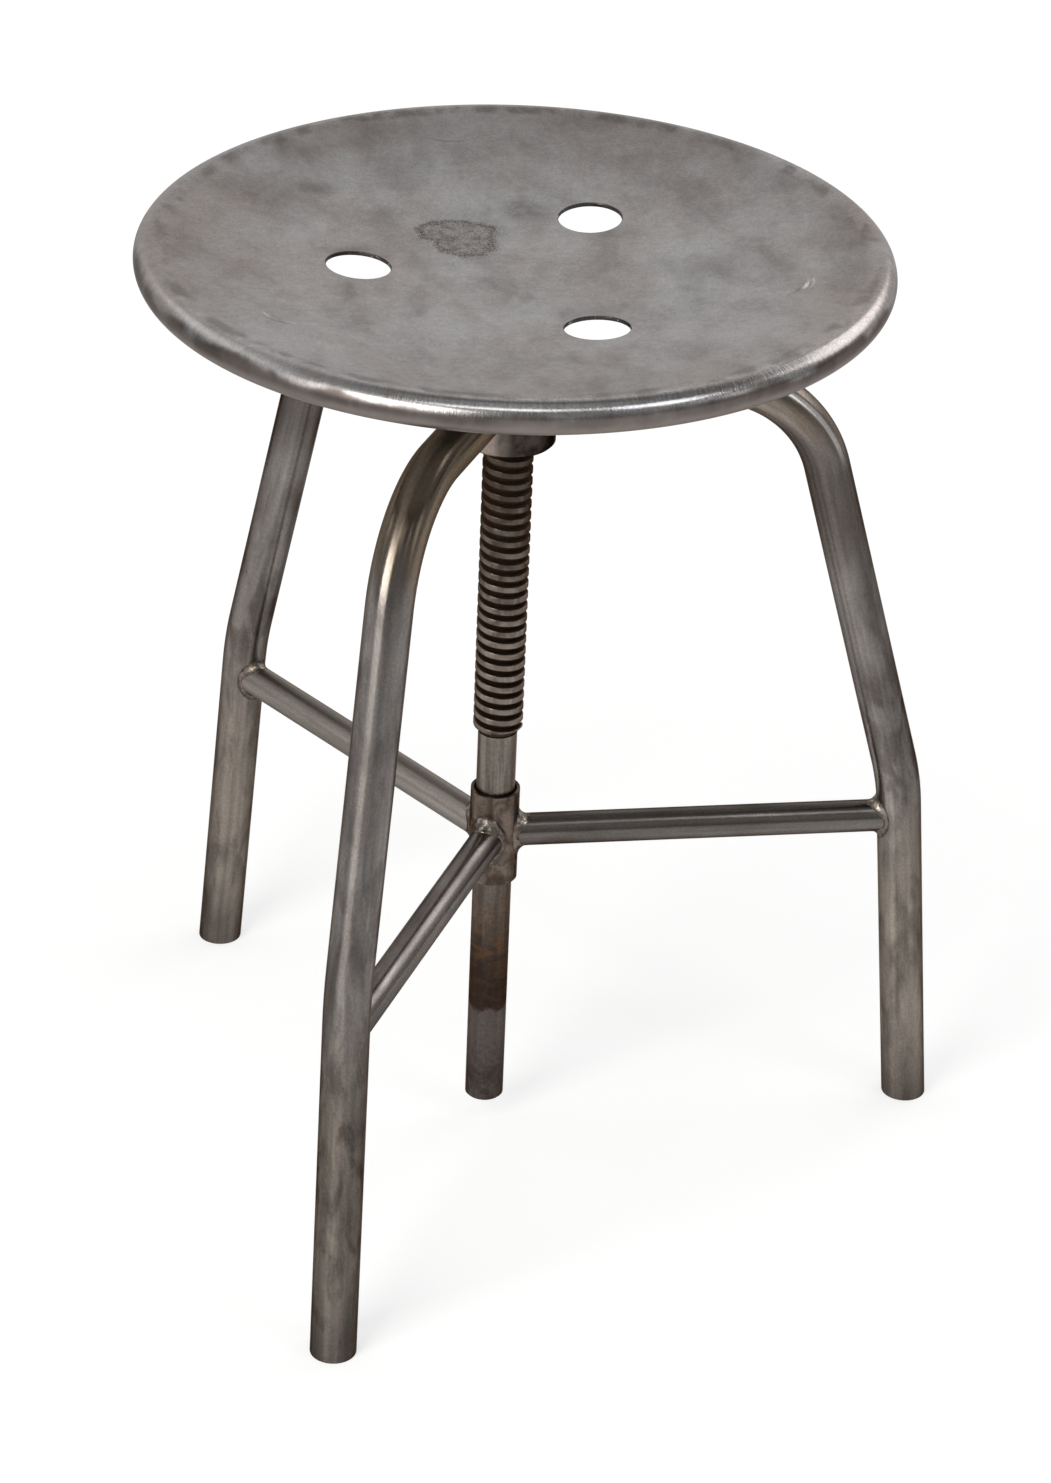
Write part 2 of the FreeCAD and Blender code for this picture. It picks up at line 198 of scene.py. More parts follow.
SEAT_EDGE = (0.62, 0.60, 0.59)
AGED_BROWN = (0.150, 0.112, 0.095)
SCRAPED_STEEL = (0.720, 0.705, 0.690)
# Painted shade: dark streak on the rim's outer side below its highlight, over some tarnish
RIM_SHADE_STREAK = (0.066, 0.055, 0.050)
# Painted shade on the walls of the seat's holes
HOLE_WALL_SHADE = (0.030, 0.026, 0.024)
STAIN_CRUST = (0.072, 0.058, 0.052)
# Painted brown sheen on the legs' shoulder bends
BEND_SHEEN = (0.184, 0.147, 0.110)
# Paler tone of the left spoke, painted light for the light it catches
LIT_SPOKE = (0.370, 0.333, 0.302)
# Painted highlight line on the right leg's bend
HIGHLIGHT_LINE = (0.780, 0.755, 0.730)
CREST_BROWN = (0.135, 0.105, 0.086)
CREST_BRIGHT = (0.380, 0.350, 0.318)
CREST_RUST = (0.038, 0.026, 0.018)
GROOVE_BROWN = (0.075, 0.046, 0.030)
GROOVE_RUST = (0.150, 0.100, 0.068)
ROD_EDGE = (0.46, 0.43, 0.41)
ROD_LIGHT = (0.218, 0.192, 0.170)
ROD_STREAK = (0.115, 0.093, 0.077)
# Painted shade of the rod below the sleeve
ROD_LOW_SHADE = (0.074, 0.062, 0.057)
ROD_END = (0.036, 0.029, 0.026)
RUST_BROWN = (0.060, 0.041, 0.030)
RUST_BLACK = (0.018, 0.011, 0.008)
RUST_ORANGE = (0.108, 0.049, 0.017)
WELD_DARK = (0.100, 0.082, 0.068)
WELD_LIGHT = (0.190, 0.158, 0.134)
# Painted highlight on top of the spokes' welds
WELD_HIGHLIGHT = (0.46, 0.43, 0.40)
OXIDE_EDGE = (0.30, 0.28, 0.27)

# Finishes of the plain upright pieces, as (light, dark, roughness, lit side).
# The hub's dark tones are painted shade under the seat, and its lit side is a painted highlight towards
# negative x.
HUB_SHADED_FINISH = ((0.055, 0.042, 0.036), (0.017, 0.013, 0.011), 0.34, (0.315, 0.258, 0.224))
SLEEVE_FINISH = ((0.164, 0.129, 0.106), (0.066, 0.049, 0.039), 0.36)
BRONZE_FINISH = ((0.420, 0.290, 0.140), (0.200, 0.130, 0.065), 0.38)


# Node helpers

class Value:
    """Output of a node. A sum or product of values adds the node that works it out."""

    def __init__(self, tree, socket):
        self.tree = tree
        self.socket = socket

    def __add__(self, other):
        return calc("ADD", self, other)

    def __radd__(self, other):
        return calc("ADD", other, self)

    def __sub__(self, other):
        return calc("SUBTRACT", self, other)

    def __rsub__(self, other):
        return calc("SUBTRACT", other, self)

    def __mul__(self, other):
        return calc("MULTIPLY", self, other)


def add(tree, kind, inputs=None, output=0, **settings):
    """Value of a new node that has its settings, and values or links on its sockets."""
    node = tree.nodes.new(kind)
    for name, value in settings.items():
        setattr(node, name, value)
    for name, value in (inputs or {}).items():
        plug(tree, node.inputs[name], value)
    return Value(tree, node.outputs[output])


def plug(tree, socket, value):
    if isinstance(value, Value):
        tree.links.new(value.socket, socket)
    else:
        socket.default_value = value


def tree_of(*values):
    return next(value.tree for value in values if isinstance(value, Value))


def calc(operation, first, second=0.0):
    return add(tree_of(first, second), "ShaderNodeMath", {0: first, 1: second}, operation=operation)


def vector_calc(operation, first, second=ORIGIN):
    output = "Value" if operation in ("DOT_PRODUCT", "LENGTH", "DISTANCE") else "Vector"
    sockets = {0: first, 1: second}
    return add(tree_of(first, second), "ShaderNodeVectorMath", sockets, output, operation=operation)


def scaled(vector, factor):
    return add(factor.tree, "ShaderNodeVectorMath", {0: vector, "Scale": factor}, operation="SCALE")


def split(vector):
    """The x, y and z of a vector."""
    node = vector.tree.nodes.new("ShaderNodeSeparateXYZ")
    plug(vector.tree, node.inputs[0], vector)
    return [Value(vector.tree, socket) for socket in node.outputs]


def join_xyz(x, y, z):
    return add(tree_of(x, y, z), "ShaderNodeCombineXYZ", {0: x, 1: y, 2: z})


def ease(value, start, end, low=0.0, high=1.0):
    """Smooth step of a value between two others."""
    sockets = {"Value": value, "From Min": start, "From Max": end, "To Min": low, "To Max": high}
    return add(value.tree, "ShaderNodeMapRange", sockets, interpolation_type="SMOOTHSTEP")


def cloud(place, scale, detail=4.0, rough=0.55, warp=0.0, shift=ORIGIN, turn=0.0):
    """Soft random pattern. A scale of three numbers stretches it, and it may then be shifted and turned."""
    if isinstance(scale, tuple):
        sockets = {"Vector": place, "Location": shift, "Rotation": (0.0, 0.0, turn), "Scale": scale}
        place = add(place.tree, "ShaderNodeMapping", sockets)
        scale = 1.0
    sockets = {"Vector": place, "Scale": scale, "Detail": detail, "Roughness": rough, "Distortion": warp}
    return add(place.tree, "ShaderNodeTexNoise", sockets, "Fac")


def blend(factor, first, second, mode="MIX"):
    tree = tree_of(factor, first, second)
    node = tree.nodes.new("ShaderNodeMix")
    node.data_type = "RGBA"
    node.blend_type = mode
    plug(tree, node.inputs[0], factor)
    sockets = [socket for socket in node.inputs if socket.type == "RGBA"]
    for socket, value in zip(sockets, (first, second)):
        plug(tree, socket, value if isinstance(value, Value) else (*value, 1.0))
    return Value(tree, next(socket for socket in node.outputs if socket.type == "RGBA"))


def coated(base, coat, *amounts):
    """Colour with coats of another laid over it, one for each amount."""
    for amount in amounts:
        base = blend(amount, base, coat)
    return base


def shaded(base, *levels):
    """Colour times grey levels."""
    for level in levels:
        base = blend(1.0, base, join_xyz(level, level, level), "MULTIPLY")
    return base


def bumped(height, strength, distance):
    return add(height.tree, "ShaderNodeBump", {"Strength": strength, "Distance": distance, "Height": height})


def object_place(tree):
    return add(tree, "ShaderNodeTexCoord", output="Object")


def attribute(tree, name):
    return add(tree, "ShaderNodeAttribute", output="Vector", attribute_name=name)


def steel(name, paint, *finish, edge=OXIDE_EDGE, brushed=0.0):
    """Metal whose colour, roughness and normal come from a paint function. Oxide dulls its edges."""
    made = bpy.data.materials.new(name)
    made.use_nodes = True
    tree = made.node_tree
    sockets = next(node for node in tree.nodes if node.type == "BSDF_PRINCIPLED").inputs
    sockets["Metallic"].default_value = 1.0
    sockets["Specular Tint"].default_value = (*edge, 1.0)
    for socket, value in zip(("Base Color", "Roughness", "Normal"), paint(tree, *finish)):
        plug(tree, sockets[socket], value)
    if brushed:
        sockets["Anisotropic"].default_value = brushed
        plug(tree, sockets["Tangent"], attribute(tree, "tube_along"))
    return made


# Finishes

# Marks on the seat, as (x, y, half length, half width) in metres.
STAIN_LOBES = ((-0.0220, 0.0470, 0.0175, 0.0112), (-0.0195, 0.0345, 0.0135, 0.0118))
SMEAR = ((0.0125, 0.0680, 0.0120, 0.0150),)
TARNISH_PATCHES = (
    (-0.066, 0.140, 0.025, 0.016),
    (-0.094, 0.120, 0.026, 0.020),
    (-0.083, 0.091, 0.016, 0.011),
    (0.054, 0.152, 0.034, 0.018),
    (0.109, 0.126, 0.036, 0.026),
    (-0.059, 0.059, 0.018, 0.014),
    (-0.094, 0.054, 0.014, 0.010),
    (-0.150, 0.014, 0.022, 0.014),
    (-0.085, -0.021, 0.024, 0.013),
    (-0.076, 0.023, 0.012, 0.009),
    (0.020, -0.108, 0.022, 0.012),
)

# Scraped arcs, as (x, y, radius, heading of the middle, strength).
SCRAPES = (
    (-0.1062, -0.0550, 0.0146, math.radians(-127.8), 0.60),
    (0.1166, -0.0322, 0.0162, math.radians(-30.8), 0.40),
)

# Where a tube's section carries the painted highlight line of the right leg's bend.
LINE_SPOT = (0.0082, -0.0074, 0.0)
FAR_OFF = 10.0


def hole_spots(settings):
    turns = [settings.hole_heading + index * 2 * math.pi / 3 for index in range(3)]
    return [Vector((math.cos(turn), math.sin(turn))) * settings.hole_circle for turn in turns]


def ragged(place, scale, reach):
    """Small random shift of a place in the plane of the seat, for torn outlines."""
    sockets = {"Vector": place, "Scale": scale, "Detail": 5.0}
    shift = add(place.tree, "ShaderNodeTexNoise", sockets, "Color")
    centred = vector_calc("SUBTRACT", shift, (0.5, 0.5, 0.5))
    return vector_calc("MULTIPLY", centred, (reach, reach, 0.0))


def nearest_mark(flat, shift, marks):
    """Distance to the nearest of some oval marks, as a share of its size."""
    moved = vector_calc("ADD", flat, shift)
    nearest = FAR_OFF
    for x, y, long_half, wide_half in marks:
        away = vector_calc("SUBTRACT", moved, (x, y, 0.0))
        away = vector_calc("DIVIDE", away, (long_half, wide_half, 1.0))
        nearest = calc("MINIMUM", vector_calc("LENGTH", away), nearest)
    return nearest


def scrapes(flat):
    """Thin bright arcs where the sheet was scraped."""
    amount = 0.0
    for x, y, radius, heading, strength in SCRAPES:
        away = vector_calc("SUBTRACT", flat, (x, y, 0.0))
        off = calc("ABSOLUTE", vector_calc("LENGTH", away) - radius)
        facing = (math.cos(heading), math.sin(heading), 0.0)
        side = vector_calc("DOT_PRODUCT", vector_calc("NORMALIZE", away), facing)
        mark = ease(off, 0.8 * MM, 0.2 * MM) * ease(side, 0.76, 0.90)
        amount = calc("MAXIMUM", mark * strength, amount)
    return amount


def splash_stain(base, flat, place, fine, settings):
    """Old splash with a dark crusted outline, and a faint smear beside it."""
    away = nearest_mark(flat, ragged(place, 130.0, 0.0075), STAIN_LOBES)
    grit = cloud(place, 1500.0, 2.0, 0.6)
    pits = cloud(place, 210.0, 5.0, 0.65)
    crust = ease(away, 0.74, 0.94) * ease(away, 1.24, 1.02) * ease(grit, 0.42, 0.54, 0.05, 0.92)
    halo = ease(away, 1.55, 1.05) * ease(grit, 0.54, 0.62, 0.0, 0.75)
    inside = ease(away, 1.04, 0.92) * ease(pits, 0.40, 0.62, 0.10, 0.95)
    inside = inside * ease(grit, 0.36, 0.58, 0.25, 0.80)
    base = blend(ease(away, 1.05, 0.95, 0.0, 0.75), base, settings.warm)
    base = blend(calc("MAXIMUM", calc("MAXIMUM", crust, halo), inside), base, STAIN_CRUST)
    smear = nearest_mark(flat, ragged(place, 60.0, 0.016), SMEAR)
    smear = ease(smear, 1.2, 0.3) * ease(fine, 0.35, 0.65, 0.15, 0.55)
    return blend(smear, base, settings.dark)


def hole_wall_shade(base, flat, fine, settings):
    """Painted shade on the walls of the seat's holes, left lighter in a few spots as painted glints."""
    away = FAR_OFF
    for spot in hole_spots(settings):
        away = calc("MINIMUM", vector_calc("DISTANCE", flat, (*spot, 0.0)), away)
    wall = ease(away, settings.hole_radius + 0.5 * MM, settings.hole_radius + 0.2 * MM)
    return blend(wall * ease(fine, 0.58, 0.66, 0.92, 0.2), base, HOLE_WALL_SHADE)


def seat_paint(tree, settings, grain_heading):
    place = object_place(tree)
    x, y, z = split(place)
    flat = join_xyz(x, y, 0.0)
    radius = vector_calc("LENGTH", flat)
    heading = calc("ARCTAN2", y, x)
    rim = ease(radius, 0.1595, 0.1655)
    grain = cloud(place, (60.0, 1500.0, 40.0), 3.0, 0.6, turn=-grain_heading)
    broad = cloud(place, (14.0, 10.0, 12.0), 6.0, 0.60, 0.5)
    patchy = cloud(place, (34.0, 23.0, 26.0), 5.0, 0.54, 0.3, (3.1, 0.7, 0.0))
    smudge = cloud(place, (70.0, 42.0, 40.0), 3.0, 0.50, 0.3, (1.3, 4.2, 0.0))
    fine = cloud(place, 240.0, 4.0, 0.6)
    speck = cloud(place, 900.0, 2.0, 0.5)
    strokes = cloud(join_xyz(heading * 200.0, radius * 60.0, z * 120.0), 1.0, 4.0, 0.65)

    # Tarnish, marks and painted shade of the dish
    patches = ease(patchy, 0.44, 0.76) * 0.27
    smudges = ease(smudge, 0.46, 0.74, 0.0, 0.20)
    pits = ease(speck, 0.66, 0.74, 0.0, 0.34) * ease(smudge, 0.42, 0.62)
    # Dark ring at the rim's inner shoulder: tarnish smudges with painted shade for the dark reflection there
    shoulder = ease(radius, 0.1580, 0.1625) * ease(radius, 0.1685, 0.1655)
    shoulder = shoulder * ease(smudge, 0.42, 0.60, 0.0, 0.50)
    away = nearest_mark(flat, ragged(place, 34.0, 0.030), TARNISH_PATCHES)
    tarnish = ease(away, 1.20, 0.10) * ease(patchy, 0.34, 0.62, 0.08, 0.40)
    aged = ease(radius, 0.085, 0.150) * ease(y, -0.12, 0.0, 0.15, 1.0)
    base = blend(ease(broad, 0.40, 0.60), settings.warm, settings.cool)
    base = coated(base, settings.dark, patches, smudges, pits, shoulder, tarnish)
    base = blend(aged * 0.17, base, AGED_BROWN)
    base = splash_stain(base, flat, place, fine, settings)
    base = blend(scrapes(flat), base, SCRAPED_STEEL)
    hairs = ease(grain, 0.30, 0.70, 0.980, 1.02)
    specks = ease(fine, 0.30, 0.70, 0.93, 1.05) * ease(speck, 0.30, 0.70, 0.89, 1.09)
    lined = (ease(strokes, 0.25, 0.75, 0.90, 1.07) - 1.0) * rim + 1.0
    base = shaded(base, hairs, specks, lined)

    # Brown underside of the rim, and painted shade in dark bands on its outer side, over some tarnish
    top = PAN_HIGH.z
    ragged_height = z + (patchy - 0.5) * 0.012
    low = ease(ragged_height, top - 0.0030, top - 0.0072)
    # Painted shade: a dark band on the rim's outer side, with tarnish smudges in it
    rim_shade_band = ease(ragged_height, top - 0.0030, top - 0.0062) * ease(ragged_height, top - 0.0125, top - 0.0080)
    rim_shade_band = rim_shade_band * rim * ease(smudge, 0.34, 0.62, 0.25, 0.85)
    # Painted shade: a darker streak below the rim's highlight at the left and right, over some tarnish
    # smudges
    left_side = ease(x, 0.03, -0.07) * ease(x, -0.172, -0.140, 0.45, 1.0)
    sides = calc("MAXIMUM", left_side, ease(x, 0.02, 0.13))
    rim_shade_streak = ease(ragged_height, top - 0.0024, top - 0.0056) * rim * sides
    rim_shade_streak = rim_shade_streak * ease(smudge, 0.36, 0.60, 0.64, 0.86)
    rim_shade_streak = rim_shade_streak * ease(z, top - 0.0112, top - 0.0072, 0.12, 1.0)
    base = blend(low * rim * 0.90, base, settings.under)
    base = blend(rim_shade_band, base, settings.dark)
    base = blend(rim_shade_streak, base, RIM_SHADE_STREAK)
    base = hole_wall_shade(base, flat, fine, settings)

    worn_side = ease(x, -0.04, -0.13)
    dish_rough = settings.gloss + ease(patchy, 0.3, 0.7, -0.06, 0.08)
    rim_rough = ease(strokes, 0.25, 0.75, 0.20, 0.27) + low * 0.10 + worn_side * 0.14
    rough = dish_rough * (1.0 - rim) + rim_rough * rim
    relief = speck * 0.25 + fine * 0.35 + strokes * rim * 1.60
    return base, rough, bumped(relief, 0.20, 0.2 * MM)


def past(run, tube):
    """1 on a tube and those whose runs are counted from further on, 0 on the tubes before it."""
    return ease(run, RUN_STARTS[tube] - 0.2, RUN_STARTS[tube] - 0.1)


def tube_paint(tree, settings):
    place = attribute(tree, "tube_place")
    run = split(place)[2]
    height = split(object_place(tree))[2]
    is_spoke = past(run, "front_spoke")
    is_left_spoke = past(run, "left_spoke")
    is_right_spoke = past(run, "right_spoke") - is_left_spoke
    is_front_spoke = is_spoke - is_right_spoke - is_left_spoke
    is_leg = 1.0 - is_spoke
    is_front = 1.0 - past(run, "right_leg")
    is_left = past(run, "left_leg")
    is_right = is_leg - is_front - is_left
    mottle = cloud(place, (48.0, 48.0, 8.0), 4.0, 0.55, 0.4, (4.0, 1.0, 0.0))
    patch = cloud(place, (62.0, 62.0, 15.0), 5.0, 0.55, 0.5)
    blot = cloud(place, (100.0, 100.0, 36.0), 5.0, 0.58, 0.4, (0.0, 0.0, 5.0))
    hair = cloud(place, (380.0, 380.0, 13.0), 4.0, 0.6, 0.2, (1.7, 0.0, 2.0))
    band = cloud(place, (88.0, 88.0, 2.4), 3.0, 0.5, 0.2, (2.0, 6.0, 1.0))
    speck = cloud(place, (900.0, 900.0, 700.0), 2.0, 0.5)

    # Tarnish and streaks over the two tones of the steel, with painted shade on the legs' top runs under the
    # seat and on the front and right spokes
    low = ease(height + (patch - 0.5) * 0.12, 0.205, 0.120) * is_leg
    dark_patch = ease(patch, 0.44, 0.70, 0.0, 0.62)
    streaky = ease(blot, 0.47, 0.64, 0.0, 0.74) * ease(low, 0.0, 1.0, 0.44, 1.0)
    streaky = streaky * ease(is_front, 0.0, 1.0, 0.60, 1.0)
    ragged_height = height + (mottle - 0.5) * 0.10
    # Painted shade: a darker band on the legs' top runs under the seat, faint on the front leg
    under_seat_shade = ease(ragged_height, 0.285, 0.335) * ease(ragged_height, 0.400, 0.365) * ease(is_front, 0.0, 1.0, 0.74, 0.10)
    # Painted shade on the front and right spokes, which sit under the seat
    front_spoke_shade, right_spoke_shade = is_front_spoke * 0.14, is_right_spoke * 0.50
    base = blend(ease(mottle, 0.34, 0.66), settings.middle, settings.light)
    base = blend(low, base, settings.shank)
    base = coated(base, settings.dark, dark_patch, streaky, front_spoke_shade, right_spoke_shade, under_seat_shade)

    # Painted brown sheen on the shoulder bends, dim shanks, grimy feet, dark knees and a left spoke painted
    # paler as painted light
    # Painted sheen: brown on the shoulder bends, strongest on the front leg
    sheen_share = calc("MAXIMUM", ease(patch, 0.36, 0.60, 0.40, 0.80), is_front * 0.90)
    grime = ease(height + blot * 0.07, 0.090, 0.032, 0.0, 0.66)
    knee = ease(height, 0.165, 0.190) * ease(height, 0.265, 0.235) * is_leg
    knee = knee * ease(blot, 0.44, 0.58, 0.0, 0.55) * ease(is_front, 0.0, 1.0, 1.0, 0.20)
    base = blend(ease(ragged_height, 0.374, 0.398) * sheen_share * is_leg, base, BEND_SHEEN)
    base = coated(base, settings.dark, is_front * low * 0.37, is_left * low * 0.20, grime)
    # Painted light: the left spoke is paler
    base = blend(is_left_spoke * 0.60, base, LIT_SPOKE)
    base = blend(knee, base, settings.dark)

    # Painted highlight: a bright line on the right leg's bend, where a lamp's reflection falls
    off_line = vector_calc("DISTANCE", vector_calc("MULTIPLY", place, LEVEL), LINE_SPOT)
    bend_highlight = ease(off_line, 1.9 * MM, 0.7 * MM) * ease(ragged_height, 0.364, 0.402)
    base = blend(bend_highlight * ease(is_right, 0.0, 1.0, 0.0, 0.90), base, HIGHLIGHT_LINE)

    bands = ease(band, 0.34, 0.66, 0.76, 1.20)
    strokes = ease(hair, 0.28, 0.72, 0.88, 1.10)
    specks = ease(speck, 0.30, 0.70, 0.90, 1.08)
    base = shaded(base, bands, strokes, specks)
    rough = settings.gloss + ease(mottle, 0.3, 0.7, 0.04, -0.04)
    rough = rough + dark_patch * 0.08 + low * 0.10 + is_left_spoke * 0.18
    return base, rough, bumped(speck * 0.6 + hair * 0.3, 0.20, 0.2 * MM)


def upright_paint(tree, light, dark, gloss, lit_side=None):
    """Turned and handled steel of the hub, sleeve and other plain pieces, which may have one side painted
    lighter as a painted highlight.
    """
    place = object_place(tree)
    streak = cloud(place, (260.0, 260.0, 45.0), 4.0, 0.6, 0.3)
    mottle = cloud(place, 95.0, 5.0, 0.6, 0.5)
    speck = cloud(place, 1100.0, 2.0, 0.5)
    base = blend(ease(mottle, 0.36, 0.64), dark, light)
    base = blend(ease(streak, 0.54, 0.72) * 0.6, base, dark)
    # Painted highlight: the side towards negative x is lighter
    if lit_side:
        side = split(place)[0] + (mottle - 0.5) * 0.012
        base = blend(ease(side, 1.0 * MM, -12.0 * MM, 0.0, 0.82), base, lit_side)
    base = shaded(base, ease(speck, 0.30, 0.70, 0.88, 1.10))
    rough = gloss + ease(mottle, 0.3, 0.7, 0.07, -0.07)
    return base, rough, bumped(speck * 0.6 + streak * 0.4, 0.25, 0.2 * MM)


def thread_paint(tree, settings):
    """Rubbed crests over greasy grooves, rusty towards the hub."""
    place = object_place(tree)
    x, y, z = split(place)
    radius = vector_calc("LENGTH", join_xyz(x, y, 0.0))
    mottle = cloud(place, 120.0, 5.0, 0.6, 0.5)
    streak = cloud(place, (420.0, 420.0, 60.0), 3.0, 0.6)
    fine = cloud(place, 700.0, 4.0, 0.6)
    worn = radius + (fine - 0.5) * 0.0010
    crest = ease(worn, settings.radius - 1.0 * MM, settings.radius - 0.15 * MM)
    rusty = z + (mottle - 0.5) * 0.10
    rusty = ease(rusty, HUB_LOW.z - 0.110, HUB_LOW.z - 0.015, 0.05, 0.80)
    ridge = blend(ease(mottle, 0.40, 0.66), settings.crest_colour, CREST_BROWN)
    ridge = blend(ease(streak, 0.55, 0.75, 0.0, 0.45), ridge, CREST_BRIGHT)
    ridge = blend(rusty, ridge, CREST_RUST)
    groove = blend(ease(fine, 0.35, 0.7), settings.groove_colour, GROOVE_BROWN)
    groove = blend(rusty, groove, GROOVE_RUST)
    rough = ease(crest, 0.0, 1.0, 0.65, 0.34)
    return blend(crest, groove, ridge), rough, bumped(fine, 0.40, 0.3 * MM)


def rod_paint(tree, settings):
    """Bright rod with a rust stain that ends sharply, as left by years in the sleeve."""
    mouth = SLEEVE_LOW.z
    stain_low = mouth - 0.0735
    place = object_place(tree)
    z = split(place)[2]
    streak = cloud(place, (240.0, 240.0, 14.0), 4.0, 0.6, 0.2)
    mottle = cloud(place, 75.0, 6.0, 0.62, 0.8)
    bands = cloud(place, (52.0, 52.0, 170.0), 5.0, 0.62, 0.9, (0.3, 0.8, 0.0))
    fine = cloud(place, 600.0, 4.0, 0.6)
    wavy = z + (mottle - 0.5) * 0.014
    stain = ease(wavy, stain_low - 0.0015, stain_low + 0.0015) * ease(wavy, mouth + 0.010, mouth - 0.004)
    stain = stain * ease(wavy, 0.140, 0.092, 0.46, 1.0)
    deep = ease(wavy, stain_low + 0.042, stain_low + 0.006) * ease(bands, 0.62, 0.38, 0.55, 1.0)
    orange = ease(bands, 0.44, 0.62) * ease(wavy, 0.070, 0.105, 0.35, 1.0)
    rust = blend(ease(mottle, 0.36, 0.62), RUST_BROWN, RUST_BLACK)
    rust = blend(orange * 0.75, rust, RUST_ORANGE)
    rust = blend(deep, rust, settings.rust)
    end = ease(wavy, ROD_LOW.z + 0.044, ROD_LOW.z + 0.006) * ease(mottle, 0.40, 0.60, 0.40, 0.95)
    base = blend(ease(streak, 0.36, 0.66), ROD_LIGHT, ROD_STREAK)
    # Painted shade: darker below the sleeve's mouth
    base = blend(ease(z, mouth - 0.025, mouth - 0.060, 0.0, 0.80), base, ROD_LOW_SHADE)
    base = blend(stain * ease(mottle, 0.2, 0.6, 0.98, 0.80), base, rust)
    base = blend(end, base, ROD_END)
    base = shaded(base, ease(fine, 0.30, 0.70, 0.85, 1.12))
    return base, 0.34 + stain * 0.20, bumped(fine, 0.30, 0.2 * MM)


def weld_paint(tree, settings):
    """Dull weld metal, with a painted highlight on top of the spokes' seams."""
    place = object_place(tree)
    z = split(place)[2]
    lump = cloud(place, 190.0, 5.0, 0.6, 0.6)
    fine = cloud(place, 900.0, 4.0, 0.6)
    over = settings.spoke_height + 3.0 * MM
    # Painted highlight: lighter on top of the spokes' seams
    top_highlight = ease(z, over, over + 4.0 * MM) * ease(z, 0.22, 0.20)
    base = blend(ease(lump, 0.34, 0.58), WELD_DARK, WELD_LIGHT)
    base = blend(top_highlight * ease(lump, 0.52, 0.64, 0.0, 0.50), base, WELD_HIGHLIGHT)
    base = shaded(base, ease(fine, 0.30, 0.70, 0.82, 1.14))
    return base, ease(lump, 0.40, 0.70, 0.42, 0.24), bumped(lump + fine * 0.3, 0.35, 0.3 * MM)


# Mesh helpers

def lathe(profile, segments):
    """Vertices and faces of a profile of (radius, height) points turned round the spindle."""
    points = []
    faces = []
    rings = []
    for radius, height in profile:
        if radius < 1e-6:
            rings.append([len(points)])
            points.append((0.0, 0.0, height))
            continue
        rings.append(list(range(len(points), len(points) + segments)))
        for step in range(segments):
            around = 2 * math.pi * step / segments
            points.append((radius * math.cos(around), radius * math.sin(around), height))
    for lower, upper in zip(rings, rings[1:]):
        for step in range(segments):
            ahead = (step + 1) % segments
            corners = [lower[step % len(lower)], lower[ahead % len(lower)]]
            corners += [upper[ahead % len(upper)], upper[step % len(upper)]]
            unique = list(dict.fromkeys(corners))
            if len(unique) > 2:
                faces.append(unique)
    return points, faces


def circle(radius, count, phase=0.0, centre=Vector((0.0, 0.0))):
    """Points round a circle, the first a share of a step on."""
    turns = [2 * math.pi * (index + phase) / count for index in range(count)]
    return [centre + Vector((math.cos(turn), math.sin(turn))) * radius for turn in turns]


def linked(name, data):
    made = bpy.data.objects.new(name, data)
    bpy.context.scene.collection.objects.link(made)
    return made


def scratch(name, points, edges, faces=()):
    mesh = bpy.data.meshes.new(name)
    mesh.from_pydata(points, edges, faces)
    return linked(name, mesh)


def set_finish(mesh, material):
    mesh.materials.clear()
    mesh.materials.append(material)


def new_piece(name, mesh, material, body, node):
    """Piece of the stool that rides on a body and stands for a CAD node."""
    piece = linked(name, mesh)
    set_finish(mesh, material)
    for face in mesh.polygons:
        face.use_smooth = True
        face.material_index = 0
    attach(piece, body)
    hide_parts(node)


def evaluated_mesh(source, name):
    """Plain mesh of an object with its modifiers, which are then removed with it."""
    bpy.context.view_layer.update()
    graph = bpy.context.evaluated_depsgraph_get()
    mesh = bpy.data.meshes.new_from_object(source.evaluated_get(graph), depsgraph=graph)
    mesh.name = name
    old = source.data
    bpy.data.objects.remove(source)
    bpy.data.meshes.remove(old)
    return mesh


def node_group(name, *sockets):
    """Empty Geometry Nodes tree with a geometry in and out, and the values of its named inputs."""
    tree = bpy.data.node_groups.new(name, "GeometryNodeTree")
    for way in ("INPUT", "OUTPUT"):
        tree.interface.new_socket("Geometry", in_out=way, socket_type="NodeSocketGeometry")
    for socket, kind, default in sockets:
        made = tree.interface.new_socket(socket, in_out="INPUT", socket_type="NodeSocket" + kind)
        if default is not None:
            made.default_value = default
    tree.is_modifier = True
    given = tree.nodes.new("NodeGroupInput").outputs
    return tree, {socket.name: Value(tree, socket) for socket in given}


def finish_group(geometry, material):
    tree = geometry.tree
    smooth = add(tree, "GeometryNodeSetShadeSmooth", {"Geometry": geometry})
    real = add(tree, "GeometryNodeRealizeInstances", {"Geometry": smooth})
    painted = add(tree, "GeometryNodeSetMaterial", {"Geometry": real, "Material": material})
    plug(tree, tree.nodes.new("NodeGroupOutput").inputs[0], painted)
    return tree


def use_group(target, tree, values):
    modifier = target.modifiers.new(tree.name, "NODES")
    modifier.node_group = tree
    for item in tree.interface.items_tree:
        if item.item_type == "SOCKET" and item.in_out == "INPUT" and item.name in values:
            modifier[item.identifier] = values[item.name]


def store(geometry, name, value, kind="FLOAT"):
    sockets = {"Geometry": geometry, "Name": name, "Value": value}
    return add(geometry.tree, "GeometryNodeStoreNamedAttribute", sockets, data_type=kind, domain="POINT")


def stored(tree, name):
    return add(tree, "GeometryNodeInputNamedAttribute", {"Name": name}, data_type="FLOAT")


